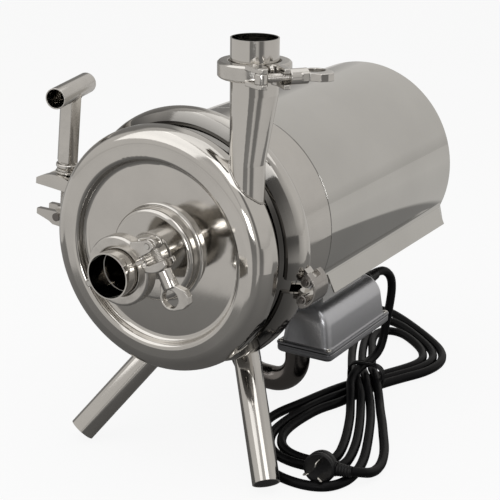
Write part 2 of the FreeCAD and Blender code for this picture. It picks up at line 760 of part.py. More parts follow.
def handle_bolt():
    """Swing bolt, washer and T handle, all standing on the pivot in the lower ear."""
    shank = cylinder("band_shank", "bolt_radius", "bolt_top + pivot_drop", "-bolt_reach", "0", "-pivot_drop")
    eye = plate("band_eye", [], "0", "eye_width", [("-bolt_reach", "-pivot_drop", "eye_radius")])
    eye_bore = plate("band_eye_bore", [], "0", "2 * eye_width",
                     [("-bolt_reach", "-pivot_drop", "pivot_radius + running_play")])
    bolt = on_handle_side(cut("band_bolt", fuse("band_bolt", shank, eye), eye_bore))
    washer = spin("band_washer", [
        ("bolt_radius + running_play", "washer_seat"), ("washer_radius", "washer_seat"),
        ("washer_radius", "neck_seat"), ("bolt_radius + running_play", "neck_seat")], plane="XZ_Plane")
    keep("band_bolt", group("band_bolt", [bolt, beside_axis(washer)]))
    neck = cylinder("handle_neck", "neck_radius", "neck_length + 1", "0", "0", "neck_seat")
    stem = doc.addObject("Part::Prism", "handle_stem")
    stem.Polygon = 6
    tie(stem, "Circumradius", "hex_flats / 2 / cos(30)")
    tie(stem, "Height", "hex_length")
    place(stem, "0", "0", "hex_seat")
    cross = rod_along_y("handle_cross", "cross_radius", "-cross_length / 2", "cross_length", "0", "cross_height")
    hollow = rod_along_y("handle_hollow", "cross_radius - tube_wall", "-cross_length", "2 * cross_length",
                         "0", "cross_height")
    bore = cylinder("handle_bore", "bolt_radius + running_play", "bolt_top + 1 - neck_seat", "0", "0", "neck_seat")
    handle = cut("t_handle", fuse("t_handle", neck, stem, cross), hollow, bore)
    keep("t_handle", beside_axis(handle, "cross_turn"))


def beside_axis(piece, turn="0"):
    """Stand a piece made round local Z on the swing bolt's line, turned about that line."""
    lean = FreeCAD.Rotation(Vector(0, 1, 0), number("handle_turn"))
    spun = FreeCAD.Rotation(Vector(0, 0, 1), number(turn))
    piece.Placement = FreeCAD.Placement(Vector(0, 0, 0), lean.multiply(spun))
    tie(piece, "Placement.Base.x", "-bolt_reach * cos(handle_turn)")
    tie(piece, "Placement.Base.y", "band_mid")
    tie(piece, "Placement.Base.z", "bolt_reach * sin(handle_turn)")
    return piece


# Lantern and motor
def lantern():
    rim = "rim_edge_rear + (clamp_rim_radius - lantern_radius) / band_slope"
    turned = spin("lantern_turned", [
        ("lantern_bore", "plate_rear"), ("clamp_rim_radius", "plate_rear"),
        ("clamp_rim_radius", "rim_edge_rear"), ("lantern_radius", rim), ("lantern_radius", "seam"),
        ("spigot_radius", "seam"), ("spigot_radius", "seam + spigot_length"),
        ("lantern_bore", "seam + spigot_length"), ("lantern_bore", "web_rear"), ("web_bore", "web_rear"),
        ("web_bore", "web_rear - web_thick"), ("lantern_bore", "web_rear - web_thick")])
    window = block("lantern_window", "-lantern_radius - 5", "lantern_radius + 5", "window_front",
                   "seam + 2 * spigot_length", "-lantern_radius - 5", "-window_top")
    keep("lantern", cut("lantern", turned, window))


def flange_bolts():
    bolts = []
    for index in range(4):
        angle = 45 + 90 * index
        x, z = f"flange_bolt_circle / 2 * cos({angle})", f"flange_bolt_circle / 2 * sin({angle})"
        shank = rod_along_y(f"flange_shank_{index}", "flange_bolt_radius", "web_rear - web_thick - 4",
                            "2 * web_thick + 4", x, z)
        head = rod_along_y(f"flange_head_{index}", "flange_bolt_head", "web_rear + web_thick", "5.3", x, z)
        bolts.append(fuse(f"flange_bolt_{index}", shank, head))
    keep("flange_bolts", group("flange_bolts", bolts))
    return [rod_along_y(f"flange_hole_{index}", "flange_bolt_radius", "web_rear - 2 * web_thick",
                        "4 * web_thick", f"flange_bolt_circle / 2 * cos({45 + 90 * index})",
                        f"flange_bolt_circle / 2 * sin({45 + 90 * index})") for index in range(4)]


def motor():
    holes = flange_bolts()
    lantern_piece = NODES["lantern"]
    keep("lantern", cut("lantern_drilled", lantern_piece, group("lantern_holes", holes)))
    shield = spin("front_shield_turned", [
        ("shaft_radius + 3", "web_rear - web_thick"), ("web_bore", "web_rear - web_thick"),
        ("web_bore", "web_rear"), ("flange_radius", "web_rear"), ("flange_radius", "web_rear + web_thick"),
        ("fin_radius", "frame_front"), ("frame_bore", "frame_front"), ("frame_bore", "frame_front + 6"),
        ("frame_bore - 8", "frame_front + 6"), ("frame_bore - 8", "web_rear + web_thick"),
        ("bearing_radius + 7", "web_rear + web_thick"), ("bearing_radius + 7", "bearing_back"),
        ("bearing_radius", "bearing_back"), ("bearing_radius", "web_rear + 1"),
        ("shaft_radius + 3", "web_rear + 1")])
    faces = [rod_along_y(f"spot_face_{index}", "flange_bolt_head + 3", "web_rear + web_thick",
                         "frame_front - web_rear - web_thick + 5",
                         f"flange_bolt_circle / 2 * cos({45 + 90 * index})",
                         f"flange_bolt_circle / 2 * sin({45 + 90 * index})") for index in range(4)]
    drilled = cut("shield_drilled", shield, group("shield_holes", holes))
    keep("motor_front_shield", cut("motor_front_shield", drilled, group("spot_faces", faces)))
    keep("motor_rear_shield", spin("motor_rear_shield", [
        ("shaft_radius + 3", "frame_rear + 21"), ("shaft_radius + 3", "frame_rear + 1 + bearing_width"),
        ("bearing_radius", "frame_rear + 1 + bearing_width"), ("bearing_radius", "frame_rear + 1"),
        ("bearing_radius + 7", "frame_rear + 1"), ("bearing_radius + 7", "frame_rear + 8"),
        ("frame_bore - 8", "frame_rear + 8"), ("frame_bore - 8", "frame_rear - 6"),
        ("frame_bore", "frame_rear - 6"), ("frame_bore", "frame_rear"), ("fin_radius", "frame_rear"),
        ("fin_radius", "frame_rear + 8"), ("bearing_radius + 12", "frame_rear + 21")]))
    bearings = []
    for name, front in (("front_bearing", "web_rear + 1"), ("rear_bearing", "frame_rear + 1")):
        bearings.append(spin(name, [
            ("shaft_radius + running_play", front), ("bearing_radius", front),
            ("bearing_radius", f"{front} + bearing_width"),
            ("shaft_radius + running_play", f"{front} + bearing_width")]))
    keep("motor_bearings", group("motor_bearings", bearings))
    finned_frame()
    keep("stator_core", spin("stator_core", [
        ("rotor_radius + air_gap", "core_front"), ("frame_bore", "core_front"),
        ("frame_bore", "core_rear"), ("rotor_radius + air_gap", "core_rear")]))
    rings = []
    for side, start in (("front", "core_front - winding_length"), ("rear", "core_rear")):
        rings.append(spin(f"winding_{side}", [
            ("rotor_radius + 6", start), ("frame_bore - 5", start),
            ("frame_bore - 5", f"{start} + winding_length"), ("rotor_radius + 6", f"{start} + winding_length")]))
    keep("stator_windings", group("stator_windings", rings))


def finned_frame():
    body = new_body("motor_frame")
    sketch = new_sketch(body, "XZ_Plane", "-frame_front", circles=[("0", "0", "frame_core")])
    extrude(body, sketch, "frame_rear - frame_front", backwards=True)
    fin_sketch = new_sketch(body, "XZ_Plane", "-frame_front", loops=[[
        ("frame_bore + 2", "-fin_thick / 2"), ("fin_radius", "-fin_thick / 2"),
        ("fin_radius", "fin_thick / 2"), ("frame_bore + 2", "fin_thick / 2")]])
    fin = extrude(body, fin_sketch, "frame_rear - frame_front", backwards=True)
    ring = body.newObject("PartDesign::PolarPattern", "fin_ring")
    ring.Originals = [fin]
    ring.Axis = ([item for item in body.Origin.OriginFeatures if item.Role == "Y_Axis"][0], [""])
    ring.Angle = 360
    tie(ring, "Occurrences", "fin_count")
    body.Tip = ring
    neck = block("box_neck", "neck_left", "neck_right", "neck_front", "neck_back", "-box_top - 12", "-frame_core / 3")
    bore = rod_along_y("frame_bore_tool", "frame_bore", "frame_front - 5", "frame_rear - frame_front + 10")
    passage = block("box_passage", "neck_left + 8", "neck_right - 8", "neck_front + 8", "neck_back - 8",
                    "-box_top - 14", "-box_top + 12")
    foot = cut("box_neck", neck, tub("box_neck_trim", "0"))
    keep("motor_frame", cut("motor_frame", fuse("motor_frame", body, foot), bore, passage))


def rotor():
    keep("shaft", spin("shaft", [
        ("0", "shaft_front"), ("thread_radius", "shaft_front"), ("thread_radius", "shaft_front + 14"),
        ("stub_radius", "shaft_front + 14"), ("stub_radius", "web_rear - web_thick"),
        ("shaft_radius", "web_rear - web_thick"), ("shaft_radius", "frame_rear + 22"),
        ("fan_seat_radius", "frame_rear + 22"), ("fan_seat_radius", "shaft_rear"), ("0", "shaft_rear")]))
    hub = spin("impeller_hub", [
        ("stub_radius", "shaft_front + 14"), ("stub_radius + 8", "shaft_front + 14"),
        ("stub_radius + 14", "impeller_rear - impeller_plate"),
        ("impeller_radius", "impeller_rear - impeller_plate"), ("impeller_radius", "impeller_rear"),
        ("stub_radius", "impeller_rear")])
    vanes = []
    for index in range(6):
        vane = new_body(f"vane_{index}")
        outer, inner = "impeller_radius", "stub_radius + 7"
        sketch = new_sketch(vane, "XZ_Plane", "-vane_front", loops=[[
            (inner, "0"), (f"{outer} * cos(48)", f"{outer} * sin(48)", "impeller_radius * 0.8", 1),
            (f"{outer} * cos(50.5)", f"{outer} * sin(50.5)"),
            (f"{inner} * cos(20)", f"{inner} * sin(20)")]])
        extrude(vane, sketch, "impeller_rear - impeller_plate - vane_front", backwards=True)
        vanes.append(place(vane, axis=(0, 1, 0), turn=str(60 * index)))
    keep("impeller", fuse("impeller", hub, *vanes))
    nut = doc.addObject("Part::Prism", "impeller_nut_hex")
    nut.Polygon = 6
    tie(nut, "Circumradius", "nut_radius")
    tie(nut, "Height", "12")
    place(nut, "0", "shaft_front + 2", "0", (1, 0, 0), "-90")
    nut_bore = rod_along_y("impeller_nut_bore", "thread_radius", "shaft_front - 5", "30")
    keep("impeller_nut", cut("impeller_nut", nut, nut_bore))
    keep("seal_ring", spin("seal_ring", [
        ("stub_radius", "impeller_rear"), ("seal_bore - 3", "impeller_rear"),
        ("seal_bore - 3", "plate_front - seal_hub_front - 0.1"),
        ("stub_radius", "plate_front - seal_hub_front - 0.1")]))
    keep("rotor_core", spin("rotor_core", [
        ("shaft_radius", "core_front"), ("rotor_radius", "core_front"),
        ("rotor_radius", "core_rear"), ("shaft_radius", "core_rear")]))
    fan_body()


def fan_body():
    body = new_body("fan")
    sketch = new_sketch(body, "XZ_Plane", "-fan_front", circles=[("0", "0", "fan_seat_radius + 9")])
    extrude(body, sketch, "fan_width", backwards=True)
    disc_sketch = new_sketch(body, "XZ_Plane", "-fan_front", circles=[("0", "0", "fan_radius")])
    extrude(body, disc_sketch, "fan_blade", backwards=True)
    blade_sketch = new_sketch(body, "XZ_Plane", "-fan_front", loops=[[
        ("fan_seat_radius + 5", "-fan_blade / 2"), ("fan_radius", "-fan_blade / 2"),
        ("fan_radius", "fan_blade / 2"), ("fan_seat_radius + 5", "fan_blade / 2")]])
    blade = extrude(body, blade_sketch, "fan_width", backwards=True)
    ring = body.newObject("PartDesign::PolarPattern", "blade_ring")
    ring.Originals = [blade]
    ring.Axis = ([item for item in body.Origin.OriginFeatures if item.Role == "Y_Axis"][0], [""])
    ring.Angle = 360
    ring.Occurrences = 8
    body.Tip = ring
    keep("fan", cut("fan", body, rod_along_y("fan_bore", "fan_seat_radius", "fan_front - 5", "fan_width + 10")))


# Shroud
def shroud():
    outer_x, inner_x = "bend_x", "bend_x * shroud_bore / lantern_radius"
    outer_z = "-lantern_radius * cos(skirt_turn)"
    inner_z = f"({outer_z}) * shroud_bore / lantern_radius"
    body = new_body("shroud")
    sketch = new_sketch(body, "XZ_Plane", "-seam", loops=[[
        ("lip_x", "-lip_z"), (outer_x, outer_z, "lantern_radius", 1, True), (f"-({outer_x})", outer_z),
        ("-lip_x", "-lip_z"), ("-lip_x + 1.1 * sheet", "-lip_z"),
        (f"-({inner_x})", inner_z, "shroud_bore", -1, True), (inner_x, inner_z),
        ("lip_x - 1.1 * sheet", "-lip_z")]])
    extrude(body, sketch, "shroud_rear - seam", backwards=True)
    corners = [block("shroud_front_corner", "-lip_x - 5", "lip_x + 5", "seam - 5", "lip_front",
                     "-lip_z - 5", outer_z),
               block("shroud_rear_corner", "-lip_x - 5", "lip_x + 5", "lip_rear", "shroud_rear + 5",
                     "-lip_z - 5", outer_z)]
    keep("shroud", cut("shroud", body, *corners))
    end_plate()


def end_plate():
    body = new_body("shroud_end_plate")
    front = "end_plate_rear - sheet"
    sketch = new_sketch(body, "XZ_Plane", f"-({front})", circles=[("0", "0", "shroud_bore")])
    extrude(body, sketch, "sheet", backwards=True)
    slot_sketch = new_sketch(body, "XZ_Plane", f"-({front})", loops=[[
        ("vent_inner", "-vent_width / 2"), ("vent_outer", "-vent_width / 2", "0.6 * vent_width", 1),
        ("vent_outer", "vent_width / 2"), ("vent_inner", "vent_width / 2", "0.6 * vent_width", 1)]])
    slot = body.newObject("PartDesign::Pocket", "vent_slot")
    slot.Profile = slot_sketch
    slot.SideType = "Symmetric"
    tie(slot, "Length", "6 * sheet")
    ring = body.newObject("PartDesign::PolarPattern", "vent_ring")
    ring.Originals = [slot]
    ring.Axis = ([item for item in body.Origin.OriginFeatures if item.Role == "Y_Axis"][0], [""])
    ring.Angle = 360
    tie(ring, "Occurrences", "vent_count")
    body.Tip = ring
    trim = block("end_plate_trim", "-lantern_radius", "lantern_radius", "shroud_rear - 20", "shroud_rear",
                 "-lantern_radius - 5", "-lip_z")
    rods = []
    for index, angle in enumerate((45, 135, 225, 315)):
        rods.append(rod_along_y(f"standoff_{index}", "standoff_radius", "frame_rear + 8",
                                "end_plate_rear - sheet - frame_rear - 8",
                                f"standoff_circle * cos({angle})", f"standoff_circle * sin({angle})"))
    posts = cut("standoffs", group("standoff_rods", rods), NODES["motor_rear_shield"])
    keep("shroud_end_plate", fuse("shroud_end_plate", cut("end_plate_sheet", body, trim), posts))


# Terminal box
def rounded(x0, x1, y0, y1, radius):
    """Corners of a rounded rectangle, turning left."""
    return [(f"{x0} + {radius}", y0), (f"{x1} - {radius}", y0, radius, 1), (x1, f"{y0} + {radius}"),
            (x1, f"{y1} - {radius}", radius, 1), (f"{x1} - {radius}", y1), (f"{x0} + {radius}", y1, radius, 1),
            (x0, f"{y1} - {radius}"), (x0, f"{y0} + {radius}", radius, 1)]


def rectangle(x0, x1, y0, y1):
    return [(x0, y0), (x1, y0), (x1, y1), (x0, y1)]


def soften(body, base, radius, chosen):
    """Round the edges of a feature that the given test chooses."""
    doc.recompute()
    edges = [f"Edge{index}" for index, edge in enumerate(base.Shape.Edges, start=1)
             if chosen(edge.BoundBox, base.Shape.BoundBox)]
    rounding = body.newObject("PartDesign::Fillet", body.Name + "_rounding")
    rounding.Base = (base, edges)
    tie(rounding, "Radius", radius)
    return rounding


def upright(edge, whole):
    return edge.ZLength > 1


def at_bottom(edge, whole):
    return edge.ZMax < whole.ZMin + 0.05


def tub(name, inset):
    """The pressed cover's outside, or its inside when inset by the wall."""
    body = new_body(name)
    drop = "(box_flange_top + box_flange_thick - box_top)"
    levels = [("0", "0")] + [(f"({drop} - box_crown * (1 - sin({turn})))", f"(1 - cos({turn}))")
                             for turn in range(0, 91, 15)]
    sections = []
    for rise, share in levels:
        side = f"({inset} + box_flare_side * {rise} / {drop} + box_crown * {share})"
        end = f"({inset} + box_flare_end * {rise} / {drop} + box_end_crown * {share})"
        lift = f"-box_flange_top - box_flange_thick + {rise} * ({drop} - {inset}) / {drop}"
        sections.append(new_sketch(body, lift=lift, loops=[rounded(
            f"tub_left + {side}", f"tub_right - {side}", f"tub_front + {end}", f"tub_back - {end}",
            f"(box_corner - {inset} - 0.72 * box_corner * {share})")]))
    loft = body.newObject("PartDesign::AdditiveLoft", name + "_loft")
    loft.Profile = sections[0]
    loft.Sections = sections[1:]
    loft.Ruled = True
    return body


def corner_places():
    return [(x, y) for x in ("box_left + screw_inset + 0.5", "box_right - screw_inset - 0.5")
            for y in ("box_front + screw_inset + 0.5", "box_back - screw_inset - 0.5")]


def terminal_box():
    flange = new_body("box_flange")
    sketch = new_sketch(flange, lift="-box_flange_top - box_flange_thick", loops=[
        rounded("box_left", "box_right", "box_front", "box_back", "screw_inset")])
    extrude(flange, sketch, "box_flange_thick")
    shell = cut("terminal_box", fuse("terminal_box", tub("box_tub", "0"), flange), tub("box_hollow", "box_wall"))
    holes = group("box_screw_holes", [cylinder(f"box_screw_hole_{index}", "1.8", "40", x, y, "-lid_bottom - 5")
                                      for index, (x, y) in enumerate(corner_places())])
    gland_hole = rod_along_y("gland_hole", "gland_radius", "gland_y - 20", "40", "gland_x", "-gland_z")
    passage = block("box_top_passage", "neck_left + 8", "neck_right - 8", "neck_front + 8", "neck_back - 8",
                    "-box_top - 5", "-box_top + 5")
    keep("terminal_box", cut("terminal_box_drilled", shell, holes, gland_hole, passage))
    seal = new_body("terminal_gasket")
    outline = [rounded("box_left + 1", "box_right - 1", "box_front + 1", "box_back - 1", "screw_inset"),
               rounded("tub_left + 2", "tub_right - 2", "tub_front + 2", "tub_back - 2", "box_corner")]
    sketch = new_sketch(seal, lift="-lid_top", loops=outline)
    extrude(seal, sketch, "box_seal")
    keep("terminal_gasket", cut("terminal_gasket", seal, holes))
    lid = new_body("terminal_lid")
    sketch = new_sketch(lid, lift="-lid_bottom", loops=[
        rectangle("box_left", "box_right", "box_front", "box_back")])
    pad = extrude(lid, sketch, "lid_depth")
    corners = soften(lid, pad, "screw_inset + 2", upright)
    soften(lid, corners, "lid_round", at_bottom)
    hollow = block("lid_hollow", "tub_left + 2", "tub_right - 2", "tub_front + 2", "tub_back - 2",
                   "-lid_bottom + 2.5", "-lid_top + 1")
    keep("terminal_lid", cut("terminal_lid", lid, hollow, holes))
    screws = []
    for index, (x, y) in enumerate(corner_places()):
        shank = cylinder(f"lid_screw_shank_{index}", "1.8", "lid_bottom - box_flange_top - 3", x, y,
                         "-lid_bottom + 3")
        head = cylinder(f"lid_screw_head_{index}", "3.4", "2.2", x, y, "-box_flange_top")
        screws.append(fuse(f"lid_screw_{index}", shank, head))
    keep("lid_screws", group("lid_screws", screws))
    capacitor = rod_along_y("capacitor", "17", "neck_front", "80", "box_right - 30", "-lid_top + 21")
    terminals = block("terminal_block", "tub_left + 8", "tub_left + 22", "box_front + 30",
                      "box_front + 90", "-lid_bottom + 2.5", "-lid_bottom + 26")
    keep("box_electrics", group("box_electrics", [capacitor, terminals]))


def gland():
    sleeve = spin("gland_turned", [
        ("cord_radius", "-4"), ("gland_radius", "-4"), ("gland_radius", "4"), ("gland_radius + 1.2", "4"),
        ("gland_radius + 1.2", "14"), ("cord_radius + 3.2", "14"), ("cord_radius + 1.4", "36"),
        ("cord_radius", "36")])
    keep("cable_gland", place(sleeve, "gland_x", "gland_y", "-gland_z"))


# Cord, as round tube along straight runs joined by tangent arcs
RUN_POINTS = [
    (90, 423, -118), (90, 466, -115), (97, 502, -130), (98, 495, -172), (93, 490, -215), (92, 470, -240),
]
LEAD_POINTS = [
    (173, 171.4, -248.44), (207, 176.2, -248.6), (219, 197, -258), (218, 228, -262.1), (200, 276, -262.1),
    (164, 345, -262.1), (137, 395, -262.1), (112, 418, -262.1),
]


def cord(name, points, radius):
    """A tube whose path turns with the largest arcs that its runs allow."""
    corners = [Vector(*point) for point in points]
    edges = []
    length = 0
    last = corners[0]
    for before, here, after in zip(corners, corners[1:], corners[2:]):
        back, ahead = (before - here), (after - here)
        shorter = min(back.Length, ahead.Length)
        half_turn = (math.pi - back.getAngle(ahead)) / 2
        bend = 0.45 * shorter / math.tan(half_turn)
        print(name, "bend radius", round(bend, 1))
        start = here + back * (0.45 * shorter / back.Length)
        end = here + ahead * (0.45 * shorter / ahead.Length)
        inward = (back.normalize() + ahead.normalize()).normalize()
        middle = here + inward * (bend / math.cos(half_turn) - bend)
        edges.append(Part.LineSegment(last, start).toShape())
        edges.append(Part.Arc(start, middle, end).toShape())
        length += (start - last).Length + 2 * half_turn * bend
        last = end
    edges.append(Part.LineSegment(last, corners[-1]).toShape())
    length += (corners[-1] - last).Length
    path = Part.Wire(edges)
    ring = Part.Wire([Part.Circle(corners[0], corners[1] - corners[0], radius).toShape()])
    tube = path.makePipeShell([ring], True, False)
    print(name, "length", round(length, 1), "volume ratio", round(tube.Volume / (math.pi * radius ** 2 * length), 4))
    holder = doc.addObject("Part::Feature", name)
    holder.Shape = tube
    return keep(name, holder)


HANK_OUTLINE = [
    (139, 138), (163, 138), (182, 143), (197, 156), (204, 176), (204, 207), (191, 257), (153, 347), (114, 416),
    (123, 443), (147, 493), (155, 517), (157, 546), (154, 565), (143, 589), (131, 603), (72, 654), (15, 692),
    (2, 695), (-12, 694), (-24, 684), (-27, 678), (-28, 661), (-25, 643), (27, 515), (53, 462), (74, 426),
    (60, 384), (39, 303), (37, 265), (39, 249), (54, 210), (78, 176), (106, 150), (124, 141),
]
# gaps between its turns: inside the near lobe, round the plug, inside the far lobe and at its end
HANK_GAPS = [
    [(128, 206), (110, 211), (98, 220), (87, 240), (82, 260), (82, 289), (85, 314), (92, 339), (97, 351),
     (101, 354), (106, 352), (111, 345), (130, 303), (145, 262), (155, 226), (151, 212), (136, 206)],
    [(148, 149), (129, 153), (109, 163), (96, 175), (97, 182), (102, 184), (122, 180), (150, 181), (171, 190),
     (184, 204), (191, 203), (194, 198), (196, 184), (193, 160), (182, 151)],
    [(91, 478), (48, 562), (39, 588), (38, 603), (42, 610), (47, 613), (55, 613), (70, 606), (92, 588),
     (109, 568), (118, 549), (120, 538), (115, 516), (99, 480), (96, 478)],
    [(21, 614), (18, 618), (14, 634), (17, 645), (24, 648), (31, 646), (50, 636), (50, 628), (37, 623),
     (27, 614)],
    [(-8, 636), (-16, 662), (-16, 669), (-11, 679), (0, 683), (26, 671), (29, 667), (27, 662), (9, 656),
     (4, 650), (-1, 637)],
]


def hank():
    low = "-floor"
    body = new_body("hank_coil")
    sketch = new_sketch(body, lift=low, loops=[[(str(x), str(y)) for x, y in loop]
                                               for loop in [HANK_OUTLINE] + HANK_GAPS])
    extrude(body, sketch, "hank_height")
    half = "(tie_length / 2 - 3)"
    piles = []
    for name, reach, height in (("hank_pile", "pile_reach", "pile_height"),
                                ("hank_climb", "climb_reach", "climb_height")):
        pile = block(name, f"-{half}", half, f"-{reach}", reach, "-floor", f"-floor + {height}")
        piles.append(place(pile, f"tie_x - {half} * cos(tie_turn) + {reach} * sin(tie_turn)",
                           f"tie_y - {half} * sin(tie_turn) - {reach} * cos(tie_turn)", "-floor",
                           (0, 0, 1), "tie_turn"))
    coil = fuse("cord_hank", body, *piles)
    keep("cord_hank", coil)
    half = "tie_length / 2"
    strap = block("tie_block", f"-{half}", half, "-tie_width / 2", "tie_width / 2", "-floor",
                  "-floor + pile_height + tie_thick")
    place(strap, f"tie_x - {half} * cos(tie_turn) + tie_width / 2 * sin(tie_turn)",
          f"tie_y - {half} * sin(tie_turn) - tie_width / 2 * cos(tie_turn)", "-floor", (0, 0, 1), "tie_turn")
    keep("cord_tie", cut("cord_tie", strap, coil))


def on_plug(piece):
    """Lay a plug piece down, its pins turned and tilted up off the floor."""
    turned = FreeCAD.Rotation(Vector(0, 0, 1), number("plug_turn"))
    tilted = FreeCAD.Rotation(Vector(1, 0, 0), -number("plug_tilt"))
    piece.Placement = FreeCAD.Placement(Vector(0, 0, 0), turned.multiply(tilted))
    tie(piece, "Placement.Base.x", "plug_x")
    tie(piece, "Placement.Base.y", "plug_y")
    tie(piece, "Placement.Base.z", "-floor + plug_height")
    return piece


def plug():
    body = plate("plug_disc", [], "0", "plug_depth", [("0", "0", "plug_radius")])
    soften(body, body.Tip, "plug_round", lambda edge, whole: edge.YLength < 1)
    spout = cylinder("plug_spout", "cord_radius + 1.2", "plug_radius + 3", "0", "0", "0", (0, 1, 0), "90")
    keep("plug_body", on_plug(fuse("plug_body", body, spout)))
    pins = []
    for index, (angle, lean) in enumerate(((80, 80), (200, 20), (320, -40))):
        pin = doc.addObject("Part::Box", f"plug_pin_{index}")
        tie(pin, "Length", "pin_width")
        tie(pin, "Width", "pin_length")
        tie(pin, "Height", "pin_thick")
        turned = FreeCAD.Rotation(Vector(0, 1, 0), -lean)
        corner = turned.multVec(Vector(number("-pin_width / 2"), 0, number("-pin_thick / 2")))
        centre = Vector(number(f"pin_circle * cos({angle})"), number("-plug_depth / 2 - pin_length"),
                        number(f"pin_circle * sin({angle})"))
        pin.Placement = FreeCAD.Placement(centre + corner, turned)
        pins.append(pin)
    keep("plug_pins", on_plug(group("plug_pins", pins)))


# Supports
def leg(name, side):
    outer = cylinder(f"{name}_tube", "leg_radius", "leg_length")
    inner = cylinder(f"{name}_bore", "leg_radius - leg_wall", "leg_length")
    cap = cylinder(f"{name}_cap", "leg_radius - leg_wall", "leg_plug")
    lean = FreeCAD.Rotation(Vector(0, 0, 1), Vector(-side * number("leg_in"), number("leg_back"), 1))
    for piece in (outer, inner, cap):
        piece.Placement = FreeCAD.Placement(Vector(0, 0, 0), lean)
        tie(piece, "Placement.Base.x", f"{side} * foot_x")
        tie(piece, "Placement.Base.y", "foot_y")
        tie(piece, "Placement.Base.z", "-foot_z")
    return outer, inner, cap


def legs():
    drum = rod_along_y("leg_trim", "lantern_radius", "100", "250")
    caps = []
    for name, side in (("left_leg", -1), ("right_leg", 1)):
        outer, inner, cap = leg(name, side)
        keep(name, cut(name, outer, inner, drum))
        caps.append(cap)
    keep("foot_plugs", group("foot_plugs", caps))


def hoop_tube(name, radius):
    body = new_body(name)
    low = "-(floor - leg_radius)"
    left, right = "hoop_x - hoop_half", "hoop_x + hoop_half"
    spine = body.newObject("Sketcher::SketchObject", name + "_spine")
    support = [item for item in body.Origin.OriginFeatures if item.Role == "XZ_Plane"][0]
    spine.AttachmentSupport = [(support, "")]
    spine.MapMode = "FlatFace"
    tie(spine, "AttachmentOffset.Base.z", "-hoop_y")
    x0, x1, z0, z1 = number(left), number(right), number("-hoop_top"), number(low)
    bend = number("hoop_bend")
    spine.addGeometry(Part.LineSegment(Vector(x0, z0, 0), Vector(x0, z1 + bend, 0)), False)
    spine.addGeometry(Part.ArcOfCircle(Part.Circle(Vector(x0 + bend, z1 + bend, 0), Vector(0, 0, 1), bend),
                                       math.pi, 1.5 * math.pi), False)
    spine.addGeometry(Part.LineSegment(Vector(x0 + bend, z1, 0), Vector(x1 - bend, z1, 0)), False)
    spine.addGeometry(Part.ArcOfCircle(Part.Circle(Vector(x1 - bend, z1 + bend, 0), Vector(0, 0, 1), bend),
                                       -0.5 * math.pi, 0), False)
    spine.addGeometry(Part.LineSegment(Vector(x1, z1 + bend, 0), Vector(x1, z0, 0)), False)
    marks = [("DistanceX", 0, 1, left), ("DistanceY", 0, 1, "-hoop_top"), ("DistanceX", 4, 2, right),
             ("DistanceY", 4, 2, "-hoop_top"), ("DistanceY", 2, 1, low), ("Radius", 1, None, "hoop_bend"),
             ("Radius", 3, None, "hoop_bend")]
    for first, end, second, start in ((0, 2, 1, 1), (1, 2, 2, 1), (2, 2, 3, 1), (3, 2, 4, 1)):
        spine.addConstraint(Sketcher.Constraint("Tangent", first, end, second, start))
    spine.addConstraint(Sketcher.Constraint("Vertical", 0))
    spine.addConstraint(Sketcher.Constraint("Horizontal", 2))
    spine.addConstraint(Sketcher.Constraint("Vertical", 4))
    for kind, item, point, text in marks:
        if point is None:
            mark = spine.addConstraint(Sketcher.Constraint(kind, item, number(text)))
        else:
            mark = spine.addConstraint(Sketcher.Constraint(kind, item, point, number(text)))
        tie(spine, f"Constraints[{mark}]", text)
    ring = new_sketch(body, lift="-hoop_top", circles=[(left, "hoop_y", radius)])
    pipe = body.newObject("PartDesign::AdditivePipe", name + "_pipe")
    pipe.Profile = ring
    pipe.Spine = (spine, [])
    return body


def rear_hoop():
    keep("rear_hoop", cut("rear_hoop", hoop_tube("hoop_outside", "leg_radius"),
                          hoop_tube("hoop_inside", "leg_radius - leg_wall")))
    saddle = block("saddle_block", "hoop_x - hoop_half - leg_radius - 2", "hoop_x + hoop_half + leg_radius",
                   "hoop_y - saddle_half_y", "hoop_y + saddle_half_y", "-hoop_top", "-saddle_top")
    drum = rod_along_y("saddle_trim", "fin_radius", "frame_front", "frame_rear - frame_front")
    keep("hoop_saddle", cut("hoop_saddle", saddle, drum))


# Tri-clamps. Local frame: the ring axis is Y, the ears stand towards +X, the bolt points to -Z
def clamp_place(piece, port):
    if port == "suction":
        return place(piece, "0", "suction_joint", "0", (0, 1, 0), "-suction_turn")
    upright = FreeCAD.Rotation(Vector(1, 0, 0), 90)
    around = FreeCAD.Rotation(Vector(0, 0, 1), number("discharge_turn") - 90)
    piece.Placement = FreeCAD.Placement(Vector(0, 0, 0), around.multiply(upright))
    tie(piece, "Placement.Base.x", "discharge_x")
    tie(piece, "Placement.Base.y", "discharge_y")
    tie(piece, "Placement.Base.z", "discharge_joint")
    return piece


def clamp_ring(name, above):
    side = 1 if above else -1
    groove = "gasket_thick / 2 + ferrule_rim + (ferrule_radius - clamp_inner) * tan(ferrule_slope)"
    ring = spin(name + "_ring", [
        ("clamp_inner", "-clamp_half_width"), ("clamp_radius - 2", "-clamp_half_width"),
        ("clamp_radius", "-clamp_half_width + 2"), ("clamp_radius", "clamp_half_width - 2"),
        ("clamp_radius - 2", "clamp_half_width"), ("clamp_inner", "clamp_half_width"),
        ("clamp_inner", groove), ("ferrule_radius", "gasket_thick / 2 + ferrule_rim"),
        ("ferrule_radius", "-gasket_thick / 2 - ferrule_rim"), ("clamp_inner", f"-({groove})")])
    far = "2 * clamp_radius"
    split = plate(name + "_split", [[
        (f"-{far}", f"{side} * clamp_split / 2"), ("0", f"{side} * clamp_split / 2"),
        (far, f"{side} * 2 * clamp_split"), (far, f"{side} * {far}"), (f"-{far}", f"{side} * {far}")]],
        "0", "4 * clamp_half_width")
    return common(name, ring, split)


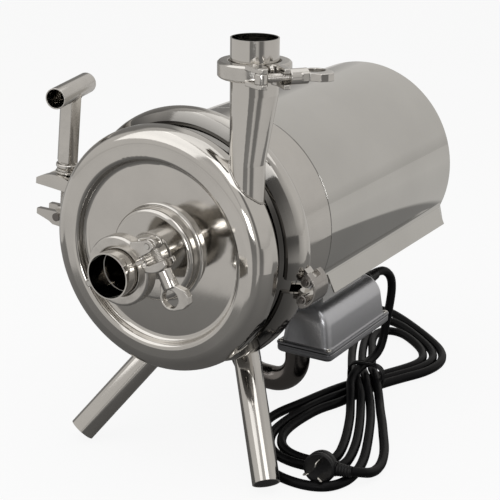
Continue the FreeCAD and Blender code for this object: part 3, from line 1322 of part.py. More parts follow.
def clamp_knuckle(name, middle, width, above):
    side = 1 if above else -1
    eye = plate(name + "_eye", [], middle, width, [("-clamp_hinge_x", "0", "clamp_hinge_radius")])
    web = plate(name + "_web", [[
        ("-clamp_hinge_x - clamp_hinge_radius + 0.5", f"{side} * 1"), ("-clamp_radius + 6", f"{side} * 1"),
        ("-clamp_radius + 6", f"{side} * 3 * clamp_hinge_radius"),
        ("-clamp_hinge_x", f"{side} * clamp_hinge_radius")]], middle, width)
    return [eye, web]


def clamp(port):
    inner = "clamp_radius - 4"
    cheek = "(clamp_ear_width - clamp_eye_width) / 2 - running_play"
    offset = "(clamp_ear_width + clamp_eye_width) / 4 + running_play / 2"
    cheeks = []
    for index, side in enumerate((-1, 1)):
        cheeks.append(plate(f"{port}_cheek_{index}", [[
            (inner, "clamp_fork_low - 3"), ("clamp_bolt_x", "clamp_fork_low - 2"),
            ("clamp_bolt_x + 7", "clamp_fork_low + 1"), ("clamp_bolt_x + 7", "clamp_fork_high - 3"),
            ("clamp_bolt_x + 4", "clamp_fork_high + 1"), ("clamp_bolt_x - 3", "clamp_fork_high + 2"),
            (f"{inner} - 2", "clamp_fork_high + 6"), (f"{inner} - 6", "clamp_fork_high")]],
            f"{side} * ({offset})", cheek))
    pivot_hole = plate(f"{port}_pivot_hole", [], "0", "2 * clamp_ear_width",
                       [("clamp_bolt_x", "clamp_pivot", "clamp_pivot_radius")])
    hinge_hole = plate(f"{port}_hinge_hole", [], "0", "2 * clamp_ear_width",
                       [("-clamp_hinge_x", "0", "clamp_hinge_radius / 2")])
    upper = fuse(f"{port}_upper_half", clamp_ring(f"{port}_upper", True), *cheeks,
                 *clamp_knuckle(f"{port}_middle_knuckle", "0", "7", True))
    keep(f"{port}_clamp_fork", clamp_place(cut(f"{port}_clamp_fork", upper, pivot_hole, hinge_hole), port))

    ear = plate(f"{port}_seat_ear", [[
        (inner, "clamp_pivot - sqrt(clamp_seat^2 - (clamp_bolt_x - clamp_radius + 4)^2)", "clamp_seat", 1),
        ("clamp_ear_end", "clamp_pivot - sqrt(clamp_seat^2 - (clamp_ear_end - clamp_bolt_x)^2)"),
        ("clamp_ear_end", "-7"), ("clamp_radius + 4", "-7"), (inner, "-4")]], "0", "clamp_ear_width")
    slot = plate(f"{port}_slot", [[
        ("clamp_bolt_x", "-25"), ("clamp_ear_end + 5", "-25"), ("clamp_ear_end + 5", "0"), ("clamp_bolt_x", "0")]],
        "0", "2 * (clamp_bolt_radius + slot_play)")
    slot_end = cylinder(f"{port}_slot_end", "clamp_bolt_radius + slot_play", "25", "clamp_bolt_x", "0", "-25")
    outer_knuckles = []
    for index, side in enumerate((-1, 1)):
        outer_knuckles += clamp_knuckle(f"{port}_outer_knuckle_{index}", f"{side} * 5.6", "4", False)
    lower = fuse(f"{port}_lower_half", clamp_ring(f"{port}_lower", False), ear, *outer_knuckles)
    keep(f"{port}_clamp_seat", clamp_place(cut(f"{port}_clamp_seat", lower, slot, slot_end, hinge_hole), port))

    pins = [plate(f"{port}_pivot_pin", [], "0", "clamp_ear_width + 1",
                  [("clamp_bolt_x", "clamp_pivot", "clamp_pivot_radius")]),
            plate(f"{port}_hinge_pin", [], "0", "16", [("-clamp_hinge_x", "0", "clamp_hinge_radius / 2")])]
    keep(f"{port}_clamp_pins", clamp_place(group(f"{port}_clamp_pins", pins), port))

    shank = cylinder(f"{port}_shank", "clamp_bolt_radius", "clamp_seat + 19", "clamp_bolt_x", "0",
                     "clamp_pivot - clamp_seat - 19")
    eye = plate(f"{port}_bolt_eye", [], "0", "clamp_eye_width", [("clamp_bolt_x", "clamp_pivot", "clamp_eye_radius")])
    eye_hole = plate(f"{port}_bolt_eye_hole", [], "0", "2 * clamp_eye_width",
                     [("clamp_bolt_x", "clamp_pivot", "clamp_pivot_radius + running_play")])
    keep(f"{port}_bolt", clamp_place(cut(f"{port}_bolt", fuse(f"{port}_bolt", shank, eye), eye_hole), port))

    seat = "(clamp_pivot - clamp_seat - seat_play)"
    barrel = cylinder(f"{port}_barrel", "wing_barrel", "20", "clamp_bolt_x", "0", f"{seat} - 20")
    eye_x, eye_z = "clamp_bolt_x + wing_eye_out", f"{seat} - wing_eye_along"
    wing = plate(f"{port}_wing", [[
        ("clamp_bolt_x - wing_barrel", f"{seat} - 12"), ("clamp_bolt_x + wing_barrel", f"{seat} - 12"),
        ("clamp_bolt_x + wing_barrel", f"{seat} - 20"), ("clamp_bolt_x + 17", f"{seat} - 28"),
        ("clamp_bolt_x + 18", f"{seat} - 36"), ("clamp_bolt_x + 15.5", f"{seat} - 43"),
        ("clamp_bolt_x + 6", f"{seat} - wing_length"), ("clamp_bolt_x - 6", f"{seat} - wing_length + 1.5"),
        ("clamp_bolt_x - 15", f"{seat} - 38"), ("clamp_bolt_x - 16.5", f"{seat} - 26")]], "0", "wing_thick")
    rim = plate(f"{port}_wing_rim", [], "0", "wing_thick", [(eye_x, eye_z, "wing_eye_rim")])
    hole = plate(f"{port}_wing_hole", [], "0", "2 * wing_thick", [(eye_x, eye_z, "wing_eye_hole")])
    bore = cylinder(f"{port}_wing_bore", "clamp_bolt_radius + running_play", "20", "clamp_bolt_x", "0",
                    f"{seat} - 19.5")
    keep(f"{port}_wing_nut", clamp_place(
        cut(f"{port}_wing_nut", fuse(f"{port}_wing_nut", barrel, wing, rim), hole, bore), port))


suction_port()
casing()
band_clamp()
handle_bolt()
lantern()
motor()
rotor()
shroud()
terminal_box()
gland()
cord("cord_run", RUN_POINTS, number("cord_radius"))
cord("cord_lead", LEAD_POINTS, number("cord_radius"))
hank()
plug()
legs()
rear_hoop()
clamp("suction")
clamp("discharge")

doc.recompute()
for item in doc.Objects:
    if "Invalid" in item.State or "Error" in item.State:
        raise RuntimeError(f"{item.Label} could not be built")
for name, node in NODES.items():
    if node.Shape.isNull() or not node.Shape.isValid():
        raise RuntimeError(f"{name} has no valid shape")
os.makedirs("parts", exist_ok=True)
for name, node in NODES.items():
    node.Shape.exportStep(f"parts/{name}.step")
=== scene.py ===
"""Stainless circulation pump: finishes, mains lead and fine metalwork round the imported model."""

from math import copysign, cos, degrees, hypot, pi, radians, sin, sqrt, tau

import bmesh
import bpy
from bpy.props import FloatProperty, FloatVectorProperty, IntProperty, PointerProperty
from bpy.types import Operator, Panel, PropertyGroup
from mathutils import Matrix, Vector
from mathutils.bvhtree import BVHTree

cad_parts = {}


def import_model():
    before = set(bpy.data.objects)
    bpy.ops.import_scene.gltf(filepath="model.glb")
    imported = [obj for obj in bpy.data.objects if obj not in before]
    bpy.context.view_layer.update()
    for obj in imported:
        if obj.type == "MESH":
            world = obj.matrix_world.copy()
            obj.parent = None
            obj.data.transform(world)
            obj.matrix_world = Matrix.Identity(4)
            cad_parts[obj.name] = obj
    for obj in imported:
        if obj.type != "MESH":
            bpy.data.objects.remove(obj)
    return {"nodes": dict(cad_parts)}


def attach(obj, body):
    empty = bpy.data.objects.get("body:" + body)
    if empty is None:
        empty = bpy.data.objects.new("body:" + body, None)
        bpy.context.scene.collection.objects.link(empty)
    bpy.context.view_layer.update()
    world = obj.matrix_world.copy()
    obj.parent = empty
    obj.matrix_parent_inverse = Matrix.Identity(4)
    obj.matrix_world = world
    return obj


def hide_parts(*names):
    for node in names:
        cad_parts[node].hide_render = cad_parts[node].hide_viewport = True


bl_info = {
    "name": "Circulation pump dressing",
    "version": (1, 0, 0),
    "blender": (4, 5, 0),
    "location": "3D View > Sidebar > Pump",
    "description": "Dresses the stainless pump with its finishes, mains lead and fine metalwork",
    "category": "Object",
}

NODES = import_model()["nodes"]
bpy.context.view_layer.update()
SLOTS = {name: node.material_slots[0].material.name.split(".")[0] for name, node in NODES.items()}
MM = 0.001
FINISHES = {}


def metres(points):
    return [tuple(MM * value for value in point) for point in points]


def turns(sides):
    return [tau * side / sides for side in range(sides)]


# Mains lead, in millimetres: its run down from the gland, the three turns of its hank, and its end. A
# point without a height lies flat on the floor
FLOOR = -267.9
CORD_RADIUS = 5.8
FLAT, OVER = -262.1, -250.3
RUN = [
    (90, 427, -118), (90, 445, -117), (90, 463, -116), (93, 482, -118), (97, 495, -130),
    (98, 498, -147), (97, 495, -170), (94, 491, -198), (93, 488, -218), (92, 478, -233),
    (90, 458, -238.5), (89, 434, -238.5), (90, 412, -238.8),
]
INNER_TURN = [
    (92, 394, -245.5), (103, 375, -250.8), (114, 353, -259.5), (125, 331), (145, 283), (155, 254),
    (161, 232), (162, 215), (154, 204), (136, 199), (112, 202), (93, 214), (80, 236), (75, 262),
    (76, 294), (81, 330), (93, 358), (101, 390), (110, 430), (129, 473), (145, 503), (152, 530),
    (151, 558), (137, 589), (104, 621), (56, 659), (25, 680), (5, 690), (-12, 689), (-22, 677),
    (-23, 658), (-16, 634), (1, 597), (27, 528), (57, 468), (69, 447, -256.5),
]
MIDDLE_TURN = [
    (83, 428, OVER), (98, 404, OVER), (113, 384, -252), (126, 358, -259.5), (140, 329), (157, 290),
    (167, 263), (175, 236), (179, 213), (173, 197), (152, 187), (126, 184), (100, 190), (79, 208),
    (64, 240), (62, 279), (65, 309), (72, 350), (85, 388), (97, 430), (116, 473), (131, 503),
    (139, 530), (139, 555), (125, 583), (94, 612), (58, 641), (34, 653), (18, 655), (8, 647), (7, 631),
    (17, 598), (40, 534), (70, 474), (84, 449, -254),
]
OUTER_TURN = [
    (98, 428, OVER), (111, 405, -251), (126, 384, -258), (139, 360), (152, 334), (168, 297), (179, 270),
    (189, 244), (196, 220), (200, 194), (198, 171), (187, 152), (166, 143), (140, 143), (113, 151),
    (83, 177), (56, 218), (42, 258), (42, 292), (53, 330), (62, 367), (72, 402), (84, 430), (103, 473),
    (117, 503), (126, 528), (126, 551), (111, 579), (83, 605), (58, 621), (38, 619), (29, 602),
    (36, 572), (55, 536), (82, 478, -260.5), (97, 452, OVER),
]
LEAD = [
    (113, 428, OVER), (126, 408, -256), (139, 386), (152, 362), (166, 338), (184, 304), (197, 280),
    (208, 256), (216, 230), (218, 204, -259), (210, 185, -251.5), (194, 174.6, -248.5),
    (172, 171.3, -248.44),
]

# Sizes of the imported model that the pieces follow, in millimetres and degrees
BOLT_REACH = 182.5
BAND_MID, BAND_HALF = 163, 12.4
CREST, ROLL = 150.5, 18.9
CROSS, CROSS_HEIGHT, STEM = 12.3, 130, 11.5
HANDLE_TURN, HANDLE_TWIST = 6, 13
PORT_BOLT = 51.5
PIPE_X, PIPE_Y = 105.6, 119.6
PLUG_CENTRE = -248.42
BOX_LEFT, BOX_RIGHT, BOX_FRONT, BOX_REAR = 50, 125, 271, 435
BOX_FOOT, BOX_SEAM, BOX_LID, BOX_HEIGHT = -158, -155, -169, 54
SHROUD_RADIUS, SHEET = 131, 1.6
SHROUD_FRONT, SHROUD_REAR = 254.5, 594
SKIRT_FRONT, SKIRT_REAR = 265, 583
SKIRT_TURN, SKIRT_LIP = 67, (131.7, -74.5)
LEG_FOOT, LEG_LEAN, LEG_RADIUS = (129.4, 115.1, -256.8), (0.66, 0.70, 1), 16.2
HOOP_ENDS, HOOP_Y, HOOP_TOP, HOOP_RADIUS = (-56, 30), 364, -98.2, 16.4

# What polished metal mirrors: shades by height (down 0, level 0.5, up 1), by the way it faces (behind
# 0 and 1, left 0.25, front 0.5, right 0.75) and, for the floor, by the distance from the pump
ROOM_HEIGHT = ((0, 0.5), (0.5, 0.56), (0.55, 0.65), (0.80, 0.67), (0.90, 0.55), (0.96, 0.62), (1, 0.7))
ROOM_GAPS = ((0, 1), (0.06, 1), (0.09, 0.24), (0.22, 0.24), (0.26, 1), (0.535, 1), (0.56, 0.42),
             (0.58, 0.8), (0.63, 0.8), (0.645, 0.18), (0.672, 0.22), (0.69, 0.75), (1, 1))
FLOOR_NEAR = ((0, 0.08), (0.15, 0.11), (0.35, 0.19), (0.49, 0.21), (0.505, 0.58), (1, 0.66))
FLOOR_WAYS = ((0, 1), (0.08, 1), (0.10, 0.35), (0.20, 0.35), (0.22, 1), (0.515, 1), (0.53, 0.2),
              (0.60, 0.2), (0.615, 0.6), (0.642, 0.5), (0.655, 0.16), (0.70, 0.18), (0.725, 0.62),
              (0.9, 0.75), (1, 1))
NEAR_SIDE, NEAR_FRONT, NEAR_BACK = 0.85, 0.43, 1.02
ROOM_TINT = (1, 0.975, 0.94)
GLOW_WHITE, WALL_WHITE, PAPER_WHITE = (1, 1, 1), (0.95, 0.95, 0.95), (0.86, 0.86, 0.86)
# Painted shade by the depth along the pump, as shares of a span in metres: dark in the groove before the
# clamp band and in the seam before the shroud, within a radius
SHADE_SPAN = 0.3
SHADE_REACH = ((0.505, 1), (0.515, 0))
GROOVE_SHADE = ((0, 1), (0.39, 1), (0.415, 0.5), (0.47, 0.34), (0.50, 0.55), (0.525, 1), (0.8432, 1),
          (0.8442, 0.1), (1, 0.1))


class Wire:
    """A value on its way through a tree's nodes. Arithmetic on it adds Math nodes."""

    def __init__(self, work, socket):
        self.work, self.socket = work, socket


for method, operation in (("add", "ADD"), ("sub", "SUBTRACT"), ("mul", "MULTIPLY"), ("truediv", "DIVIDE"),
                          ("pow", "POWER")):
    setattr(Wire, f"__{method}__", lambda one, two, kind=operation: one.work.maths(kind, one, two))
    setattr(Wire, f"__r{method}__", lambda one, two, kind=operation: one.work.maths(kind, two, one))


class NodeWork:
    """Adds nodes to one tree, from Python values and wires."""

    def __init__(self, tree):
        self.tree = tree
        self.tree.nodes.clear()

    def fill(self, socket, value):
        if isinstance(value, Wire):
            self.tree.links.new(value.socket, socket)
        elif isinstance(value, tuple) and len(value) == 3 and socket.type == "RGBA":
            socket.default_value = (*value, 1)
        else:
            socket.default_value = value

    def node(self, kind, inputs=None, output=0, **settings):
        """Adds a node: its settings first, then its inputs. Gives back the wire of one output."""
        made = self.tree.nodes.new(kind)
        for name, value in settings.items():
            setattr(made, name, value)
        for name, value in (inputs or {}).items():
            self.fill(made.inputs[name], value)
        return Wire(self, made.outputs[output]) if len(made.outputs) else None

    def maths(self, operation, first, second=0):
        return self.node("ShaderNodeMath", {0: first, 1: second}, operation=operation)

    def place(self):
        return self.node("ShaderNodeTexCoord", output="Object")

    def shifted(self, origin):
        """Object coordinates about an origin."""
        return self.node("ShaderNodeVectorMath", {0: self.place(), 1: origin}, operation="SUBTRACT")

    def noise(self, vector, scale, detail=2, roughness=0.5):
        return self.node("ShaderNodeTexNoise", {
            "Vector": vector, "Scale": scale, "Detail": detail, "Roughness": roughness})

    def ramp(self, factor, *stops):
        """Turns a factor into a shade, between stops of a place and a shade."""
        made = self.node("ShaderNodeValToRGB", {"Fac": factor})
        elements = made.socket.node.color_ramp.elements
        while len(elements) < len(stops):
            elements.new(1)
        for element, (place, shade) in zip(elements, stops):
            element.position = place
            element.color = (shade, shade, shade, 1)
        return made

    def blend(self, factor, first, second, mode="MIX"):
        return self.node("ShaderNodeMix", {0: factor, 6: first, 7: second}, 2,
                         data_type="RGBA", blend_type=mode)

    def parts(self, vector):
        split = self.node("ShaderNodeSeparateXYZ", {0: vector})
        return tuple(Wire(self, output) for output in split.socket.node.outputs)

    def polar(self, vector, axis):
        """Distance from the axis, the angle round it and the height along it."""
        x, y, z = self.parts(vector)
        along, a, b = {"X": (x, y, z), "Y": (y, z, x), "Z": (z, x, y)}[axis]
        return (a * a + b * b) ** 0.5, self.maths("ARCTAN2", a, b), along

    def vector(self, x, y, z):
        return self.node("ShaderNodeCombineXYZ", {0: x, 1: y, 2: z})


class Finish(NodeWork):
    """One material in the making: its Principled shader, and the nodes that vary it over the surface."""

    def __init__(self, name, colour, roughness, metallic=0, **sockets):
        self.material = bpy.data.materials.new(name)
        self.material.use_nodes = True
        super().__init__(self.material.node_tree)
        self.shader = self.tree.nodes.new("ShaderNodeBsdfPrincipled")
        output = self.tree.nodes.new("ShaderNodeOutputMaterial")
        self.tree.links.new(self.shader.outputs["BSDF"], output.inputs["Surface"])
        self.put("Base Color", colour)
        self.put("Roughness", roughness)
        self.put("Metallic", metallic)
        for socket, value in sockets.items():
            self.put(socket.replace("_", " "), value)

    def put(self, socket, value):
        self.fill(self.shader.inputs[socket], value)

    def patched(self, factor, start, end, tint, share):
        """The tint, and its share of it where the factor is past its end."""
        return self.blend(self.ramp(factor, (start, 0), (end, 1)), tint,
                          tuple(min(1, share * part) for part in tint))

    def bump(self, height, distance):
        self.put("Normal", self.node("ShaderNodeBump", {"Height": height, "Distance": distance}))


# Finishes
def steel(name, tint, low, high, axis=None, origin=(0, 0, 0), line=0, smudge=14, recess_shade=()):
    """Stainless steel: smudges in the gloss, polishing lines round an axis, painted shade at depths along
    Y.
    """
    finish = Finish(name, tint, low, 1)
    where = finish.place()
    patches = finish.noise(where, smudge, 4, 0.6)
    worn = finish.ramp(patches, (0.35, 0), (0.7, 1))
    rough = low + worn * (high - low)
    shade = finish.blend(worn * 0.6, tint, tuple(0.86 * part for part in tint))
    grain = finish.noise(where, 900)
    if axis:
        distance, angle, along = finish.polar(finish.shifted(origin), axis)
        # Painted shade: the steel's colour is darkened at the given depths along Y, in the groove and the
        # seam
        if recess_shade:
            painted_shade = finish.ramp(along / SHADE_SPAN, *recess_shade)
            shade = finish.blend(finish.ramp(distance / SHADE_SPAN, *SHADE_REACH), shade,
                                 finish.blend(1, shade, painted_shade, "MULTIPLY"))
        rings = finish.noise(finish.vector(distance * 1800, angle * 2, along * 1800), 1, 3, 0.7)
        rough = rough + (rings - 0.5) * 0.10
        finish.bump(rings * 0.8 + grain * 0.2, line)
    else:
        finish.bump(grain, 0.00001)
    finish.put("Base Color", shade)
    finish.put("Roughness", rough)
    return finish.material


def make_finishes(colours):
    bright = tuple(colours.steel)
    turned_line, drawn_line = 0.000012, 0.00001
    steels = (
        ("polished_stainless", bright, 0.055, 0.12, {"axis": "Y", "line": turned_line}),
        # The groove steel carries painted shade in the groove before the band and in the seam before the
        # shroud
        ("groove_stainless", bright, 0.055, 0.12, {"axis": "Y", "line": turned_line, "recess_shade": GROOVE_SHADE}),
        ("upright_stainless", bright, 0.06, 0.13,
         {"axis": "Z", "line": drawn_line, "origin": (PIPE_X * MM, PIPE_Y * MM, 0)}),
        ("cast_stainless", bright, 0.12, 0.26, {"smudge": 60}),
        ("weld_steel", (0.42, 0.40, 0.375), 0.2, 0.36, {"smudge": 120}),
        ("brass_screws", (0.66, 0.52, 0.27), 0.18, 0.3, {"smudge": 300}),
        # Dark steel: on the rear hoop its darkness is painted shade from the motor above it
        ("dark_steel", (0.2, 0.185, 0.175), 0.12, 0.24, {"smudge": 40}),
        ("worn_steel", (0.42, 0.40, 0.38), 0.12, 0.26, {"smudge": 90}),
        ("nickel_pins", (0.68, 0.66, 0.62), 0.1, 0.22, {"smudge": 220}),
    )
    return {name: steel(name, tint, low, high, **more) for name, tint, low, high, more in steels} | {
        "satin_stainless": satin_sheet(tuple(colours.sheet)),
        "white_gasket": gasket_rubber(),
        "black_rubber": rubber("black_rubber", (0.0025, 0.0025, 0.003), 0.4, 0.12),
        "seal_carbide": Finish("seal_carbide", (0.05, 0.05, 0.055), 0.25).material,
        "cast_aluminium": cast("cast_aluminium", (0.58, 0.58, 0.57), 0.42),
        "laminated_steel": laminations(),
        "copper_windings": windings(),
        "black_plastic": rubber("black_plastic", (0.005, 0.005, 0.0055), 0.34, 0.3),
        "grey_paint": paint(tuple(colours.box)),
    }


def satin_sheet(tint):
    """Rolled sheet of the shroud: long faint streaks along the motor, and a soft cloudy gloss."""
    finish = Finish("satin_stainless", tint, 0.2, 1)
    distance, angle, along = finish.polar(finish.place(), "Y")
    streaks = finish.noise(finish.vector(angle * 260, along * 3, distance * 3), 1, 4, 0.65)
    clouds = finish.noise(finish.place(), 7, 3, 0.5)
    finish.put("Roughness", 0.03 + streaks * 0.035 + clouds * 0.025)
    finish.put("Base Color", finish.patched(clouds, 0.35, 0.75, tint, 0.9))
    finish.bump(streaks, 0.0000008)
    return finish.material


def gasket_rubber():
    finish = Finish("white_gasket", (0.78, 0.77, 0.73), 0.5)
    finish.bump(finish.noise(finish.place(), 800), 0.00004)
    return finish.material


def rubber(name, tint, roughness, gloss):
    """Black rubber or plastic: a fine grain and slightly duller patches."""
    finish = Finish(name, tint, roughness, Specular_IOR_Level=gloss)
    grain = finish.noise(finish.place(), 1100, 3, 0.6)
    soft = finish.noise(finish.place(), 90)
    finish.put("Roughness", roughness + (soft - 0.5) * 0.14)
    finish.put("Base Color", finish.patched(soft, 0.4, 0.7, tint, 1.6))
    finish.bump(grain, 0.00005)
    return finish.material


def cast(name, tint, roughness):
    finish = Finish(name, tint, roughness, 0.9)
    grain = finish.noise(finish.place(), 420, 5, 0.65)
    finish.put("Roughness", roughness + grain * 0.12)
    finish.bump(grain, 0.0003)
    return finish.material


def laminations():
    finish = Finish("laminated_steel", (0.33, 0.34, 0.36), 0.4, 0.9)
    along = finish.parts(finish.place())[1]
    finish.bump(finish.maths("SINE", along * 12500), 0.00006)
    return finish.material


def windings():
    finish = Finish("copper_windings", (0.62, 0.24, 0.09), 0.3, 0.85)
    distance, angle, along = finish.polar(finish.place(), "Y")
    strands = finish.noise(finish.vector(distance * 1500, angle * 20, along * 1500), 1)
    finish.put("Base Color", finish.blend(strands, (0.66, 0.27, 0.1), (0.42, 0.14, 0.05)))
    finish.bump(strands, 0.0004)
    return finish.material


def paint(tint):
    """Silver paint: a fine metal flake, a faint orange peel, and painted shade at the foot and on the
    front end.
    """
    finish = Finish("grey_paint", tint, 0.32, 0.9, Coat_Roughness=0.25, Coat_Weight=0.12)
    peel = finish.noise(finish.place(), 260, 3, 0.5)
    flake = finish.noise(finish.place(), 2600, 1)
    x, y, z = finish.parts(finish.place())
    shaded_from, shaded_rise, shaded_end = 0.160, 0.056, 0.02
    # Painted shade: the paint is darker towards the foot of the box and on its front end
    foot = finish.ramp((z + shaded_from) / shaded_rise, (0, 0.68), (0.25, 0.7), (0.6, 0.88), (0.85, 1))
    end = finish.ramp((y - BOX_FRONT * MM) / shaded_end, (0, 0.66), (0.35, 0.72), (0.7, 1))
    shade = finish.patched(flake, 0.42, 0.62, tint, 1.14)
    finish.put("Base Color", finish.blend(1, finish.blend(1, shade, foot, "MULTIPLY"), end, "MULTIPLY"))
    finish.put("Roughness", 0.3 + (peel - 0.5) * 0.1)
    finish.bump(peel, 0.00008)
    return finish.material


# Solids with a finish of their own, apart from the finish of their slot
# The rear hoop's dark steel is painted shade from the motor above it
OWN_FINISH = {"band_pins": "dark_steel", "rear_hoop": "dark_steel", "casing_bowl": "groove_stainless",
              "lantern": "groove_stainless", "discharge_stub": "upright_stainless",
              "discharge_pipe": "upright_stainless"}


class PumpColours(PropertyGroup):
    steel: FloatVectorProperty(
        name="Polished steel", description="Tint of the polished stainless steel", subtype="COLOR",
        default=(0.62, 0.60, 0.57), min=0.0, max=1.0)
    sheet: FloatVectorProperty(
        name="Shroud steel", description="Tint of the motor shroud's sheet", subtype="COLOR",
        default=(0.60, 0.59, 0.565), min=0.0, max=1.0)
    box: FloatVectorProperty(
        name="Terminal box", description="Colour of the terminal box's paint", subtype="COLOR",
        default=(0.56, 0.565, 0.59), min=0.0, max=1.0)


class PumpCord(PropertyGroup):
    radius: FloatProperty(
        name="Cord radius", description="Radius of the mains lead's round sheath", unit="LENGTH",
        subtype="DISTANCE", default=CORD_RADIUS * MM)


class PumpScrews(PropertyGroup):
    size: FloatProperty(
        name="Screw size", description="Size of the lid's screws, as a share of their drawn size",
        subtype="FACTOR", default=1.0)
    seed: IntProperty(
        name="Screw seed", description="Sets how far each screw happens to be turned", subtype="UNSIGNED",
        default=4)


class PumpStage(PropertyGroup):
    lens: FloatProperty(
        name="Focal length", description="Focal length of the camera, in millimetres",
        subtype="DISTANCE_CAMERA", default=100.8)
    distance: FloatProperty(
        name="Lamp distance", description="Distance of the soft lamps from the pump", unit="LENGTH",
        subtype="DISTANCE", default=1.6)


def link(name, data):
    """Puts a new object of this data into the scene."""
    made = bpy.data.objects.new(name, data)
    bpy.context.scene.collection.objects.link(made)
    return made


# Shapes in millimetres, each a list of corners and a list of faces
def lathe(profile, steps=48):
    """A closed outline of (radius, height) turned about Z."""
    verts, faces = skin([[(radius * cos(angle), radius * sin(angle), height) for radius, height in profile]
                         for angle in turns(steps)], closed=True)
    return verts, [(face[0], *face[:0:-1]) for face in faces]


def circle(radius, height, sides=48):
    return [(radius * cos(turn), radius * sin(turn), height) for turn in turns(sides)]


def squared(value, power):
    """A sine or cosine that makes an oval with squarer corners."""
    return copysign(abs(value) ** power, value)


def rounded(corners, edge, parts):
    """An outline with round corners: each corner's centre, and the angle at which its arc starts."""
    outline = []
    for x, y, start in corners:
        for part in range(parts + 1):
            angle = radians(start + 90 * part / parts)
            outline.append((x + edge * cos(angle), y + edge * sin(angle)))
    return outline


def rounded_ring(inner, outer, low, high, edge):
    """Outline of a ring's section with its four edges rounded, for lathe."""
    return rounded(((outer - edge, low + edge, -90), (outer - edge, high - edge, 0),
                    (inner + edge, high - edge, 90), (inner + edge, low + edge, 180)), edge, 4)


def skin(loops, closed=False):
    """Faces over loops of equal length, one loop after another."""
    count = len(loops[0])
    verts = [corner for loop in loops for corner in loop]
    faces = []
    for row in range(len(loops) if closed else len(loops) - 1):
        here, following = row * count, (row + 1) % len(loops) * count
        for index in range(count):
            after = (index + 1) % count
            faces.append((here + index, here + after, following + after, following + index))
    if not closed:
        faces.append(tuple(reversed(range(count))))
        faces.append(tuple(range((len(loops) - 1) * count, len(loops) * count)))
    return verts, faces


def joined(*shapes):
    verts, faces = [], []
    for more_verts, more_faces in shapes:
        shift = len(verts)
        verts += more_verts
        faces += [tuple(shift + index for index in face) for face in more_faces]
    return verts, faces


def moved(shape, matrix):
    return [tuple(matrix @ Vector(corner)) for corner in shape[0]], shape[1]


def ribs(count, low, pitch, radius, taper, depth):
    """Outline of a strain relief's ribs, each smaller than the one before, for lathe."""
    outline = []
    for rib in range(count):
        start, reach = low + pitch * rib, radius - taper * rib
        outline += [(reach - depth, start), (reach, start + 0.5), (reach, start + 2.2),
                    (reach - depth, start + 2.7)]
    return outline


def bead(path, radius, ripple=0, closed=True):
    """A round string along a path, whose thickness ripples from one drop of weld to the next."""
    drop, sides = 2.2, 8
    path = [Vector(point) for point in path]
    count, loops, travelled = len(path), [], 0
    for index, point in enumerate(path):
        before = path[index - 1] if closed or index else path[0]
        after = path[(index + 1) % count] if closed or index < count - 1 else path[-1]
        heading = (after - before).normalized()
        across = (across - heading * across.dot(heading)).normalized() if loops else heading.orthogonal()
        across.normalize()
        other = heading.cross(across)
        if index:
            travelled += (point - path[index - 1]).length
        girth = radius * (1 + ripple * sin(tau * travelled / drop))
        loops.append([tuple(point + girth * (cos(turn) * across + sin(turn) * other))
                      for turn in turns(sides)])
    return skin(loops, closed)


def thread(radius, depth, pitch, low, high):
    """A rod with a helical thread along Z, its two ends tapered to the core."""
    loops, sides, rows = [], 28, 6
    total = int((high - low) / pitch * rows)
    for row in range(total + 1):
        height = low + (high - low) * row / total
        loop = []
        for side in range(sides):
            turn = side / sides
            phase = (height / pitch - turn) % 1
            flank = min(1, 1.4 * (1 - abs(2 * phase - 1)))
            ends = min(1, (high - height) / pitch, (height - low) / pitch)
            reach = radius - depth * (1 - flank * max(0, ends))
            angle = tau * turn
            loop.append((reach * cos(angle), reach * sin(angle), height))
        loops.append(loop)
    return skin(loops)


def plain_mesh(name, verts, faces=()):
    mesh = bpy.data.meshes.new(name)
    mesh.from_pydata(metres(verts), [], faces)
    return mesh


def put_piece(name, shape, finish, replaced=(), matrix=None, **more):
    """Makes a finished piece of a shape in millimetres: its place in its mesh, its faces outwards."""
    mesh = plain_mesh(name, *(moved(shape, matrix) if matrix else shape))
    put_mesh(name, mesh, finish, replaced, **more)


def welded(mesh):
    """A mesh opened for work, with the corners of its faces joined."""
    work = bmesh.new()
    work.from_mesh(mesh)
    bmesh.ops.remove_doubles(work, verts=work.verts, dist=1e-6)
    return work


def put_mesh(name, mesh, finish, replaced, slot=None, body="pump", smooth=40):
    work = welded(mesh)
    bmesh.ops.recalc_face_normals(work, faces=work.faces)
    work.to_mesh(mesh)
    work.free()
    mesh.materials.clear()
    mesh.materials.append(FINISHES[finish])
    mesh.shade_smooth()
    mesh.set_sharp_from_angle(angle=radians(smooth))
    piece = link(name, mesh)
    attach(piece, body)
    if replaced:
        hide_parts(*replaced)


def evaluated(piece):
    """The plain mesh that a piece's modifiers make of it."""
    return bpy.data.meshes.new_from_object(piece.evaluated_get(bpy.context.evaluated_depsgraph_get()))


def cast_copy(node, voxel, passes):
    """A node's solid with the rounded edges of a casting."""
    mesh = NODES[node].data.copy()
    work = welded(mesh)
    work.to_mesh(mesh)
    work.free()
    rough = link(node + "_rough", mesh)
    remesh = rough.modifiers.new("grid", "REMESH")
    remesh.mode = "VOXEL"
    remesh.voxel_size = voxel * MM
    remesh.use_smooth_shade = True
    soften = rough.modifiers.new("soften", "SMOOTH")
    soften.factor = 0.5
    soften.iterations = passes
    made = evaluated(rough)
    bpy.data.objects.remove(rough)
    return made


def turned(angle, axis):
    return Matrix.Rotation(radians(angle), 4, axis)


def at(x, y, z):
    return Matrix.Translation((x, y, z))


HANDLE_LINE = at(-BOLT_REACH * cos(radians(HANDLE_TURN)), BAND_MID,
                 BOLT_REACH * sin(radians(HANDLE_TURN))) @ turned(HANDLE_TURN, "Y")
SUCTION = at(0, 27, 0) @ turned(-28, "Y")
DISCHARGE = at(PIPE_X, PIPE_Y, 212) @ turned(-38, "Z") @ turned(90, "X")


def bolt_eye(outer, bore, width, height):
    ring = lathe(rounded_ring(bore, outer, -width / 2, width / 2, 1.2))
    return moved(ring, at(0, 0, height) @ turned(90, "X"))


